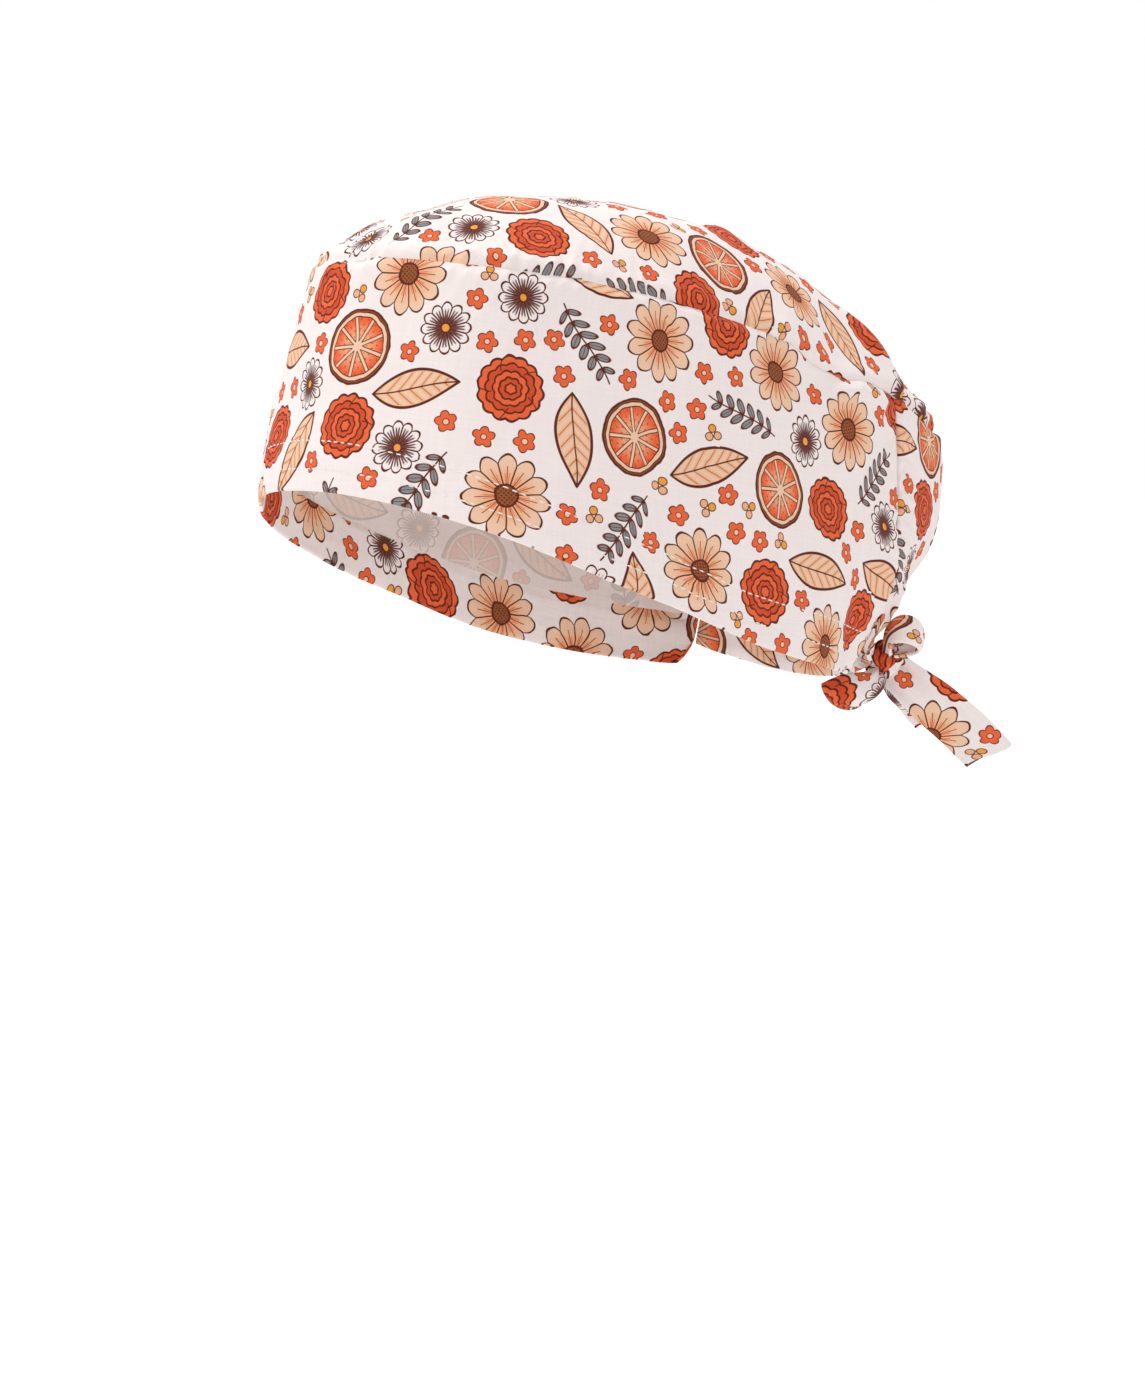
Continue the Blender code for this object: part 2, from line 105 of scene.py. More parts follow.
def place_object(name: str, data: ID) -> Object:
    """Makes an object of a mesh, a light or a camera and puts it in the scene."""
    obj = bpy.data.objects.new(name, data)
    bpy.context.scene.collection.objects.link(obj)
    return obj


@dataclass(frozen=True)
class Fold:
    """A broad soft fold of a panel, placed and sized in its shares; depth is a share of fold_depth."""

    across: float
    up: float
    width: float
    height: float
    lean: float
    depth: float


@dataclass(frozen=True)
class Crease:
    """A sharper fold along a line between two places of a panel, in shares of it; width and depth are in mm.

    One flank is steep and the other one long. The crease is deepest at its start and fades towards its end.
    """

    across: float
    up: float
    end_across: float
    end_up: float
    width: float
    depth: float

    def over(self, x: np.ndarray, y: np.ndarray, span: float, height: float) -> np.ndarray:
        """Gives the crease's height over a panel.

        Args:
            x: Places across the panel, as shares.
            y: Places up the panel, as shares.
            span: The panel's size across, in metres.
            height: The panel's size upwards, in metres.

        Returns:
            The height at each place, in metres.
        """
        start = np.array([self.across * span, self.up * height])
        way = np.array([self.end_across * span, self.end_up * height]) - start
        length = float(np.linalg.norm(way))
        way = way / length
        dx, dy = x * span - start[0], y * height - start[1]
        ahead = (dx * way[0] + dy * way[1]) / length
        aside = dx * way[1] - dy * way[0]
        spread = self.width * MM * (1 + 0.8 * np.clip(ahead, 0, 1.2))
        flank = np.where(aside < 0, 0.55 * spread, 1.7 * spread)
        fade = smooth((ahead + 0.15) / 0.25) * smooth((1.05 - ahead) / 0.9)
        return self.depth * MM * np.exp(-((aside / flank) ** 2)) * fade


@dataclass(frozen=True)
class Ripple:
    """Random relief of cloth, the same on each run: a sum of waves between two lengths."""

    seed: int
    shortest: float
    longest: float
    depth: float
    spread: float = math.pi
    waves: int = 16

    def over(self, x: np.ndarray, y: np.ndarray) -> np.ndarray:
        """Gives the relief at places of the flat cloth.

        Args:
            x: Places along the cloth, in metres.
            y: Places up the cloth, in metres.

        Returns:
            The height at each place, in metres.
        """
        dice = random.Random(self.seed)
        total = np.zeros(np.broadcast(x, y).shape)
        for _ in range(self.waves):
            length = self.shortest * (self.longest / self.shortest) ** dice.random()
            way = dice.uniform(-0.5, 0.5) * self.spread
            phase = dice.uniform(0, math.tau)
            total += np.sin(math.tau * (x * math.cos(way) + y * math.sin(way)) / length + phase)
        return total * self.depth / math.sqrt(self.waves / 2)

    def pleats(self, x: np.ndarray) -> np.ndarray:
        """Gives narrow valleys between rounded ridges along a seam, about 0 in all."""
        wave = self.over(x, np.zeros_like(x)) / self.depth
        return self.depth * (0.6 - np.abs(wave) ** 0.8)


@dataclass(frozen=True)
class CapShape:
    """The cap's worn shape, with the sizes that its solids have."""

    seam_gap: float = 0.0003
    brim_front: float = 0.0950
    brim_back: float = 0.1050
    brim_side: float = 0.0820
    brim_front_height: float = 0.0410
    brim_back_height: float = -0.0240
    crown_front: float = 0.0790
    crown_back: float = 0.1575
    crown_side: float = 0.0640
    seam_front_height: float = 0.1150
    seam_side_height: float = 0.1030
    seam_back_height: float = 0.0555
    crown_rise: float = 0.0345
    crown_back_rise: float = 0.0420
    band_bulge: float = 0.0010
    band_end_bulge: float = 0.0090
    pouch_bulge: float = 0.0130
    fold_depth: float = 0.0030
    band_end_top: float = 135.0
    band_end_tip: float = 150.0
    tip_rounding: float = 2.5
    nape_reach: float = 0.0095
    nape_height: float = -0.0125
    brim_shape: float = 2.4
    crown_shape: float = 2.1
    dome_shape_front: float = 2.7
    dome_shape_back: float = 3.5
    panel_foot: float = 0.20
    end_sharpness: float = 6.0
    blouse_hang: float = 0.85
    pouch_evenness: float = 0.6
    band_folds: tuple[Fold, ...] = (
        Fold(0.955, 0.20, 0.016, 0.16, -0.10, -0.55),
        Fold(0.925, 0.30, 0.018, 0.20, -0.12, 0.50),
        Fold(0.930, 0.80, 0.020, 0.10, 0.06, -0.70),
        Fold(0.880, 0.62, 0.030, 0.16, 0.10, 0.40),
        Fold(0.740, 0.85, 0.020, 0.09, 0.00, -0.30),
        Fold(0.620, 0.60, 0.030, 0.24, 0.03, 0.25),
        Fold(0.500, 0.40, 0.030, 0.22, 0.00, -0.25),
        Fold(0.360, 0.70, 0.025, 0.18, -0.04, 0.30),
        Fold(0.210, 0.80, 0.022, 0.10, 0.00, -0.40),
        Fold(0.085, 0.30, 0.020, 0.20, 0.12, 0.50),
        Fold(0.045, 0.22, 0.016, 0.16, 0.10, -0.55),
        Fold(0.070, 0.78, 0.020, 0.10, -0.06, -0.60),
    )
    panel_folds: tuple[Fold, ...] = (
        Fold(0.17, 0.30, 0.050, 0.13, 0.12, -0.90),
        Fold(0.30, 0.42, 0.060, 0.18, 0.10, 0.45),
        Fold(0.40, 0.20, 0.045, 0.15, 0.05, -0.60),
        Fold(0.62, 0.24, 0.045, 0.16, -0.05, -0.65),
        Fold(0.73, 0.46, 0.060, 0.18, -0.10, 0.45),
        Fold(0.85, 0.30, 0.050, 0.13, -0.12, -0.80),
        Fold(0.50, 0.84, 0.070, 0.09, 0.00, -0.40),
    )
    crown_folds: tuple[Fold, ...] = (
        Fold(0.345, 0.14, 0.014, 0.10, 0.02, -0.75),
        Fold(0.318, 0.20, 0.016, 0.14, 0.03, 0.50),
        Fold(0.395, 0.18, 0.018, 0.12, -0.02, 0.55),
        Fold(0.430, 0.10, 0.014, 0.08, 0.00, -0.60),
        Fold(0.565, 0.12, 0.018, 0.10, 0.00, -0.60),
        Fold(0.650, 0.18, 0.020, 0.14, -0.03, 0.45),
        Fold(0.800, 0.12, 0.022, 0.10, 0.00, -0.35),
        Fold(0.095, 0.12, 0.016, 0.09, 0.00, -0.40),
        Fold(0.925, 0.13, 0.018, 0.10, 0.00, -0.40),
    )

    def oval(self, angle: np.ndarray, front: float, back: float, side: float, shape: float) -> tuple:
        """Gives places on an oval outline.

        Args:
            angle: Angles from its front, towards the wearer's left.
            front: How far it reaches to the front.
            back: How far it reaches to the back.
            side: How far it reaches to each side.
            shape: Its fullness, 2 for an ellipse.

        Returns:
            The x and the y of each place.
        """
        s, c = np.sin(angle), np.cos(angle)
        reach = np.where(c > 0, front, back)
        power = 2 / shape
        return np.sign(s) * side * np.abs(s) ** power, -np.sign(c) * reach * np.abs(c) ** power

    def slope_height(self, y: np.ndarray, front: float, back: float, heights: tuple) -> np.ndarray:
        """Gives heights on a parabola through three heights of an outline.

        Args:
            y: Places from front to back.
            front: How far the outline reaches to the front.
            back: How far it reaches to the back.
            heights: Its heights at the front, the sides and the back.

        Returns:
            The height at each place.
        """
        at_front = y * (y - back) / (front * (front + back))
        at_side = -(y + front) * (y - back) / (front * back)
        at_back = y * (y + front) / (back * (front + back))
        return heights[0] * at_front + heights[1] * at_side + heights[2] * at_back

    def brim(self, angle: np.ndarray) -> np.ndarray:
        """Gives points on the lower edge of the band.

        Args:
            angle: Angles from the front, towards the wearer's left.

        Returns:
            The points.
        """
        x, y = self.oval(angle, self.brim_front, self.brim_back, self.brim_side, self.brim_shape)
        heights = (self.brim_front_height, 0.0, self.brim_back_height)
        return np.stack([x, y, self.slope_height(y, self.brim_front, self.brim_back, heights)], axis=-1)

    def seam_height(self, y: np.ndarray) -> np.ndarray:
        """Gives the height of the crown seam's sloping plane at y."""
        heights = (self.seam_front_height, self.seam_side_height, self.seam_back_height)
        return self.slope_height(y, self.crown_front, self.crown_back, heights)

    def seam(self, angle: np.ndarray) -> np.ndarray:
        """Gives points on the seam between the crown and the walls."""
        x, y = self.oval(angle, self.crown_front, self.crown_back, self.crown_side, self.crown_shape)
        return np.stack([x, y, self.seam_height(y)], axis=-1)

    def blousing(self, share: np.ndarray) -> np.ndarray:
        """Gives the fullness of a wall at a share of its height: none at its edges, most near its foot."""
        return np.sin(np.pi * np.clip(share, 0, 1) ** self.blouse_hang)

    def folds(self, table: tuple, across: np.ndarray, up: np.ndarray) -> np.ndarray:
        """Gives how far the broad folds of a table stand out.

        Args:
            table: The folds.
            across: Places across the panel, as shares.
            up: Places up the panel, as shares.

        Returns:
            The height at each place, in metres.
        """
        total = 0.0
        for fold in table:
            drift = (across - fold.across - fold.lean * (up - fold.up)) / fold.width
            rise = (up - fold.up) / fold.height
            total = total + fold.depth * np.exp(-0.5 * (drift * drift + rise * rise))
        return total * self.fold_depth

    def straight_band(self, turn: np.ndarray, up: np.ndarray) -> np.ndarray:
        """Gives points of the band without its fullness.

        Args:
            turn: Places round the cap, from -1 at the band's right end to 1 at its left one.
            up: Places up the band, as shares.

        Returns:
            The points.
        """
        rounding = self.tip_rounding * np.maximum(0.0, 1 - 2 * up / self.panel_foot) ** 2
        tip, top = np.radians(self.band_end_tip - rounding), math.radians(self.band_end_top)
        share = up[..., None]
        return self.brim(turn * tip) * (1 - share) + self.seam(turn * top) * share

    def band(self, across: np.ndarray, up: np.ndarray) -> np.ndarray:
        """Gives points of the band's outer side.

        Args:
            across: Places from the band's right end to its left one, as shares.
            up: Places up the band, as shares.

        Returns:
            The points.
        """
        turn, step = 2 * across - 1, 0.012
        along = self.straight_band(turn + step, up) - self.straight_band(turn - step, up)
        end = np.abs(turn) ** self.end_sharpness
        swell = self.band_bulge * np.sin(np.pi * up) * (1 - end)
        swell = swell + self.band_end_bulge * self.blousing(up) * end
        inside = smooth(across / 0.03) * smooth((1 - across) / 0.03) * smooth((1 - up) / 0.1)
        swell = swell + self.folds(self.band_folds, across, up) * inside
        return self.straight_band(turn, up) + level_outward(along) * swell[..., None]

    def band_end_way(self, side: int, up: np.ndarray) -> np.ndarray:
        """Gives the outward ways of the band along its rear edge at the wearer's left (1) or right (-1)."""
        ends = [self.straight_band(side * turn * np.ones_like(up), up) for turn in (1.0, 1 - 1 / 81)]
        return level_outward(side * (ends[0] - ends[1]))

    def band_edge(self, side: int, share: np.ndarray) -> np.ndarray:
        """Gives points on the rear edge of the band at the wearer's left (1) or right (-1)."""
        share = np.asarray(share, dtype=float)
        return self.band(np.full(share.shape, (1 + side) / 2.0), share)

    def through(self, left: np.ndarray, middle: np.ndarray, right: np.ndarray, share: np.ndarray) -> tuple:
        """Gives points on the arcs through three points.

        Args:
            left: Where each arc starts.
            middle: The point halfway along it.
            right: Where it ends.
            share: Places along it, as shares.

        Returns:
            The points, and the way that the arc runs at each.
        """
        share = np.asarray(share, dtype=float)[..., None]
        pull = 2 * middle - (left + right) / 2
        point = (1 - share) ** 2 * left + 2 * share * (1 - share) * pull + share ** 2 * right
        return point, unit((1 - share) * (pull - left) + share * (right - pull))

    def panel_foot_line(self, across: np.ndarray) -> tuple:
        """Gives points on the back panel's lower edge.

        Args:
            across: Places from its left end to its right one, as shares.

        Returns:
            The points, and the outward way at each.
        """
        middle = np.array([0.0, self.brim_back + self.nape_reach, self.nape_height])
        left, right = (self.band_edge(side, self.panel_foot) for side in (1, -1))
        point, run = self.through(left, middle, right, across)
        return point, level_outward(run)

    def panel(self, across: np.ndarray, up: np.ndarray) -> np.ndarray:
        """Gives points of the back panel's outer side.

        Args:
            across: Places from its left edge to its right one, as shares.
            up: Places up the panel, as shares.

        Returns:
            The points.
        """
        top_angle = np.radians(self.band_end_top + (360 - 2 * self.band_end_top) * across)
        edge_share = self.panel_foot + (1 - self.panel_foot) * up
        share, side_share = up[..., None], across[..., None]
        bows = []
        for side in (1, -1):
            foot, top = self.band_edge(side, self.panel_foot), self.band_edge(side, 1.0)
            bows.append(self.band_edge(side, edge_share) - foot * (1 - share) - top * share)
        foot, outward = self.panel_foot_line(across)
        inside = smooth(across / 0.1) * smooth((1 - across) / 0.1) * smooth((1 - up) / 0.1)
        spread = np.sin(np.pi * np.clip(across, 0, 1)) ** self.pouch_evenness
        swell = self.pouch_bulge * self.blousing(up) * spread
        swell = swell + self.folds(self.panel_folds, across, up) * inside
        straight = foot * (1 - share) + self.seam(top_angle) * share
        return straight + bows[0] * (1 - side_share) + bows[1] * side_share + outward * swell[..., None]

    def crown(self, angle: np.ndarray, reach: np.ndarray) -> np.ndarray:
        """Gives points of the crown's outer side.

        Args:
            angle: Angles from the front, towards the wearer's left.
            reach: Places from 0 at the middle of the oval to 1 at the seam.

        Returns:
            The points.
        """
        middle = np.array([0.0, (self.crown_back - self.crown_front) / 2, 0.0])
        edge = self.seam(angle)
        place = middle + (edge - middle) * reach[..., None]
        y = place[..., 1]
        lean = smooth((y + self.crown_front) / (self.crown_front + self.crown_back))
        fullness = self.dome_shape_front + (self.dome_shape_back - self.dome_shape_front) * lean
        rise = self.crown_rise + (self.crown_back_rise - self.crown_rise) * lean
        rise = rise * (1 - np.clip(reach, 0, 1) ** fullness)
        around, inward = angle / math.tau % 1.0, 1 - reach
        fold = self.folds(self.crown_folds, around, inward) * smooth(inward / 0.05) * 0.7
        outward = unit(edge - middle) * np.array([1.0, 1.0, 0.0])
        height = self.seam_height(y) + rise + fold
        return np.stack([place[..., 0], y, height], axis=-1) + outward * (fold * reach)[..., None]


@dataclass(frozen=True)
class Shift:
    """A place where the worn cloth lies off the plain shape, all in mm; a mirrored one is on both sides."""

    x: float
    y: float
    z: float
    reach: float
    dx: float
    dy: float
    dz: float
    mirrored: bool = False

    def pull(self, points: np.ndarray) -> np.ndarray:
        """Gives how far the shift moves points.

        Args:
            points: The points, in metres.

        Returns:
            The move of each point, in metres.
        """
        total = np.zeros_like(points)
        for sign in (1, -1) if self.mirrored else (1,):
            offset = (points - np.array([sign * self.x, self.y, self.z]) * MM) / (self.reach * MM)
            share = np.exp(-(offset * offset).sum(axis=-1, keepdims=True))
            total += share * np.array([sign * self.dx, self.dy, self.dz]) * MM
        return total


WORN_SHIFTS = (
    Shift(16, -60, 125, 15, 0.0, -0.5, 3.4, mirrored=True),
    Shift(7, -16, 138, 15, 0.0, 0.0, -1.8),
    Shift(18, 59, 127, 8, 0.0, 0.0, 2.0),
    Shift(16, 80, 120, 10, 0.0, 0.0, -2.3),
    Shift(26, 98, 109, 8, 0.0, 0.0, -2.0),
    Shift(27, 132, 74, 11, -0.8, -1.2, -3.2),
    Shift(27, 139, 14, 14, 0.9, 1.7, 0.0, mirrored=True),
    Shift(43, 115, 6, 9, 0.9, 1.3, 0.0, mirrored=True),
    Shift(56, 82, 82, 11, 0.6, 0.0, -4.6),
    Shift(58, 68, 86, 8, 0.0, 0.0, -3.2),
    Shift(72, -55, 21, 45, 0.0, 0.0, 1.9, mirrored=True),
    Shift(82, -5, 2, 24, 0.0, 0.0, 1.7, mirrored=True),
    Shift(0, -93, 60, 62, 0.0, -1.1, 0.0),
)


def settle(points: np.ndarray) -> np.ndarray:
    """Moves points of the plain shape to where the worn cloth lies."""
    return points + sum(shift.pull(points) for shift in WORN_SHIFTS)


def grid_normals(grid: np.ndarray, closed: bool = False) -> np.ndarray:
    """Gives the outward normals of a grid of points, whose first axis runs round and second one up."""
    along = np.roll(grid, -1, axis=0) - np.roll(grid, 1, axis=0) if closed else np.gradient(grid, axis=0)
    return unit(np.cross(along, np.gradient(grid, axis=1)))


def arc(grid: np.ndarray, axis: int) -> np.ndarray:
    """Gives the distance run along one axis of a grid of points.

    Args:
        grid: The points.
        axis: The axis along which the distance is run.

    Returns:
        The distance of each point from the first one on its line.
    """
    steps = np.linalg.norm(np.diff(grid, axis=axis), axis=-1)
    start = np.zeros_like(np.take(steps, [0], axis=axis))
    return np.concatenate([start, np.cumsum(steps, axis=axis)], axis=axis)


def values_at(places: np.ndarray, run: np.ndarray, values: np.ndarray) -> np.ndarray:
    """Gives the values of a line at places of its run."""
    return np.stack([np.interp(places, run, part) for part in values.T], axis=-1)


def grid_faces(columns: int, rows: int, round_columns: bool, round_rows: bool) -> np.ndarray:
    """Gives the corner numbers of the quads of a grid.

    Args:
        columns: How many columns of points it has.
        rows: How many points a column has.
        round_columns: Whether its last column joins the first one.
        round_rows: Whether the last point of a column joins the first one.

    Returns:
        Four point numbers for each quad.
    """
    i = np.arange(columns if round_columns else columns - 1)
    j = np.arange(rows if round_rows else rows - 1)
    i, j = (a.ravel() for a in np.meshgrid(i, j, indexing="ij"))
    k, m = (i + 1) % columns, (j + 1) % rows
    return np.stack([i * rows + j, k * rows + j, k * rows + m, i * rows + m], axis=-1)


def quad_places(columns: int, rows: int) -> tuple[np.ndarray, np.ndarray]:
    """Gives where the corners of a grid's quads lie; a row number equal to rows is the first row again.

    Args:
        columns: How many columns of quads it has.
        rows: How many quads a column has.

    Returns:
        The column and the row of the four corners of each quad.
    """
    column, row = (a.ravel() for a in np.meshgrid(np.arange(columns), np.arange(rows), indexing="ij"))
    columns_of = np.stack([column, column + 1, column + 1, column], axis=1)
    return columns_of, np.stack([row, row, row + 1, row + 1], axis=1)


def end_discs(count: int) -> np.ndarray:
    """Gives the places in the bake map of the two closed ends of a tube.

    Args:
        count: How many corners each end has.

    Returns:
        The place of each corner of the first end, then of the last one.
    """
    turn = np.arange(count) / count * math.tau
    disc = np.stack([np.cos(turn), np.sin(turn)], axis=1) * 0.018
    return np.concatenate([disc[::-1] + [0.05, 0.97], disc + [0.12, 0.97]])


def flatten(points: np.ndarray, closed: bool, start: np.ndarray, rounds: int = 8) -> np.ndarray:
    """Lays a curved panel flat with as little stretch as it can, as its pattern piece would be cut.

    Args:
        points: A grid of points of the panel.
        closed: Whether the grid closes on itself along its first axis.
        start: A rough flat place of each point, as complex numbers.
        rounds: How often the fit is bettered.

    Returns:
        The flat place of each point, as complex numbers in metres.
    """
    columns, rows = points.shape[:2]
    quads = grid_faces(columns, rows, closed, False)
    corners = np.concatenate([quads[:, [0, 1, 2]], quads[:, [0, 2, 3]]])
    flat_points = points.reshape(-1, 3)
    a, b, c = (flat_points[corners[:, k]] for k in range(3))
    first, second = b - a, c - a
    length = np.linalg.norm(first, axis=1)
    height = np.linalg.norm(np.cross(first, second), axis=1) / length
    ahead = (first * second).sum(1) / length
    shape = np.stack([np.zeros_like(length) + 0j, length + 0j, ahead + 1j * height], 1)
    kept = height > 1e-9
    corners, shape = corners[kept], shape[kept]
    count = len(flat_points)
    matrix = np.eye(count) * 1e-9
    weights = []
    for k in range(3):
        i, j, opposite = corners[:, k], corners[:, (k + 1) % 3], shape[:, (k + 2) % 3]
        one, two = shape[:, k] - opposite, shape[:, (k + 1) % 3] - opposite
        turn = np.conj(one) * two
        weight = np.clip(turn.real / np.maximum(np.abs(turn.imag), 1e-12), 0.02, 50) / 2
        weights.append(weight)
        for p, q, sign in ((i, i, 1), (j, j, 1), (i, j, -1), (j, i, -1)):
            np.add.at(matrix, (p, q), sign * weight)
    inverse = np.linalg.inv(matrix)
    flat = start.ravel().astype(complex)
    for _ in range(rounds):
        turn = np.zeros(len(corners), dtype=complex)
        for k in range(3):
            m = (k + 1) % 3
            side = flat[corners[:, m]] - flat[corners[:, k]]
            turn += weights[k] * side * np.conj(shape[:, m] - shape[:, k])
        turn = turn / np.maximum(np.abs(turn), 1e-15)
        pull = np.zeros(count, dtype=complex)
        for k in range(3):
            m = (k + 1) % 3
            edge = weights[k] * turn * (shape[:, m] - shape[:, k])
            np.add.at(pull, corners[:, m], edge)
            np.add.at(pull, corners[:, k], -edge)
        flat = inverse @ (pull - pull.mean())
    return flat.reshape(columns, rows)


def spread_flat(grid: np.ndarray, closed: bool, start: np.ndarray, steps: tuple[int, int]) -> np.ndarray:
    """Lays a fine grid flat by way of every few of its points.

    Args:
        grid: The grid of points.
        closed: Whether it closes on itself along its first axis.
        start: A rough flat place of each point, as complex numbers.
        steps: How many points apart the chosen ones lie, along each axis.

    Returns:
        The flat place of each point, as complex numbers in metres.
    """
    columns = np.unique(np.append(np.arange(0, len(grid), steps[0]), len(grid) - 1))
    if closed:
        columns = np.arange(0, len(grid), steps[0])
    rows = np.unique(np.append(np.arange(0, grid.shape[1], steps[1]), grid.shape[1] - 1))
    coarse = flatten(grid[np.ix_(columns, rows)], closed, start[np.ix_(columns, rows)])
    if closed:
        columns = np.append(columns, len(grid))
        coarse = np.concatenate([coarse, coarse[:1]])
    every_row, every_column = np.arange(grid.shape[1]), np.arange(len(grid))
    wide = np.stack([np.interp(every_row, rows, line) for line in coarse])
    return np.stack([np.interp(every_column, columns, line) for line in wide.T], axis=1)


@dataclass(frozen=True)
class PrintLayout:
    """The tossed layout of the print's motifs over a piece of flat cloth; counts are per 100 square cm."""

    seed: int
    gap: float = 1.5
    cell: float = 1.0
    choices: int = 40
    counts: tuple[tuple[Motif, float], ...] = (
        (Motif.BLOSSOM, 3.2),
        (Motif.SLICE, 1.9),
        (Motif.ROSETTE, 3.4),
        (Motif.LEAF, 2.4),
        (Motif.SPRIG, 2.2),
        (Motif.ASTER, 14.0),
        (Motif.FLORET, 14.0),
        (Motif.BERRIES, 30.0),
    )

    def order(self, area: float) -> list[Motif]:
        """Gives the motifs to toss over an area: the big kinds mixed, then the small ones.

        Args:
            area: The area, in 100 square cm.

        Returns:
            The motifs in their order.
        """
        tosses = []
        for number, (motif, count) in enumerate(self.counts):
            wanted = max(1, round(count * area))
            stage = number if motif.value[1] + motif.value[2] < 10 else 0
            tosses += [(stage, (k + 0.5) / wanted, number, motif) for k in range(wanted)]
        return [toss[3] for toss in sorted(tosses, key=lambda toss: toss[:3])]

    def place(self, low: np.ndarray, high: np.ndarray) -> dict[str, np.ndarray]:
        """Tosses the motifs over a rectangle, each snug beside others but far from its own kind.

        Args:
            low: Its lowest corner, in metres.
            high: Its highest corner, in metres.

        Returns:
            Arrays with each motif's middle, angle, kind, radius, half length and random number.
        """
        dice = np.random.default_rng(self.seed)
        low, high = low / MM - 12, high / MM + 12
        area = float(np.prod(high - low)) / 10000
        x, y = np.meshgrid(*(np.arange(a, b, self.cell) for a, b in zip(low, high)), indexing="ij")
        room = np.full(x.shape, 40.0)
        found: list[tuple] = []
        alike = {motif: np.array([[1e6, 1e6]]) for motif, _ in self.counts}
        for motif in self.order(area):
            kind, radius, half = motif.value
            angle = dice.uniform(0, math.tau)
            steps = [round(half * turn / self.cell) for turn in (math.cos(angle), math.sin(angle))]
            free = room
            if half:
                moved = [np.roll(room, (sign * steps[0], sign * steps[1]), axis=(0, 1)) for sign in (1, -1)]
                free = np.minimum(room, np.minimum(*moved))
            fits = np.argwhere(free >= radius + self.gap)
            if not len(fits):
                continue
            fits = fits[dice.integers(0, len(fits), self.choices)]
            middles = low + (fits + dice.uniform(-0.5, 0.5, fits.shape)) * self.cell
            kin = np.linalg.norm(middles[:, None] - alike[motif][None], axis=2).min(axis=1)
            kin = kin - 2 * radius - half
            snug = free[fits[:, 0], fits[:, 1]] - radius - self.gap
            middle = middles[int((np.minimum(kin, 3 * radius) - snug).argmax())]
            alike[motif] = np.concatenate([alike[motif], middle[None]])
            for share in (-1, 0, 1) if half else (0,):
                spot = middle + share * half * np.array([math.cos(angle), math.sin(angle)])
                room = np.minimum(room, np.hypot(x - spot[0], y - spot[1]) - radius)
            found.append((*middle, angle, kind, radius, half, dice.random()))
        table = np.array(found)
        return {
            "middle": table[:, :2] * MM,
            "angle": table[:, 2],
            "kind": table[:, 3],
            "radius": table[:, 4] * MM,
            "half": table[:, 5] * MM,
            "random": table[:, 6],
        }

    def dress(self, mesh: Mesh, corners: np.ndarray) -> None:
        """Writes on each face which motif it shows, and on its corners their places in that motif.

        Args:
            mesh: The mesh, whose faces are all quads or triangles in the order of its corners.
            corners: The flat cloth place of every face corner, in metres.
        """
        motifs = self.place(corners.min(axis=0), corners.max(axis=0))
        sizes = np.zeros(len(mesh.polygons), dtype=np.int32)
        mesh.polygons.foreach_get("loop_total", sizes)
        starts = np.concatenate([[0], np.cumsum(sizes)[:-1]])
        middles = np.add.reduceat(corners, starts, axis=0) / sizes[:, None]
        ways = np.stack([np.cos(motifs["angle"]), np.sin(motifs["angle"])], axis=1)
        best = np.full(len(middles), np.inf)
        nearest = np.zeros(len(middles), dtype=int)
        for k, way in enumerate(ways):
            offset = middles - motifs["middle"][k]
            ahead = np.clip(offset @ way, -motifs["half"][k], motifs["half"][k])
            apart = np.linalg.norm(offset - ahead[:, None] * way, axis=1) - motifs["radius"][k]
            closer = apart < best
            best[closer], nearest[closer] = apart[closer], k
        owner = np.repeat(nearest, sizes)
        offset = corners - motifs["middle"][owner]
        way = ways[owner]
        ahead, aside = (offset * way).sum(1), offset[:, 1] * way[:, 0] - offset[:, 0] * way[:, 1]
        local = np.stack([ahead, aside, motifs["random"][owner]], axis=1)
        place = mesh.attributes.new("motif_place", "FLOAT_VECTOR", "CORNER")
        place.data.foreach_set("vector", local.astype(np.float32).ravel())
        kind = mesh.attributes.new("motif_kind", "FLOAT", "FACE")
        kind.data.foreach_set("value", motifs["kind"][nearest].astype(np.float32))


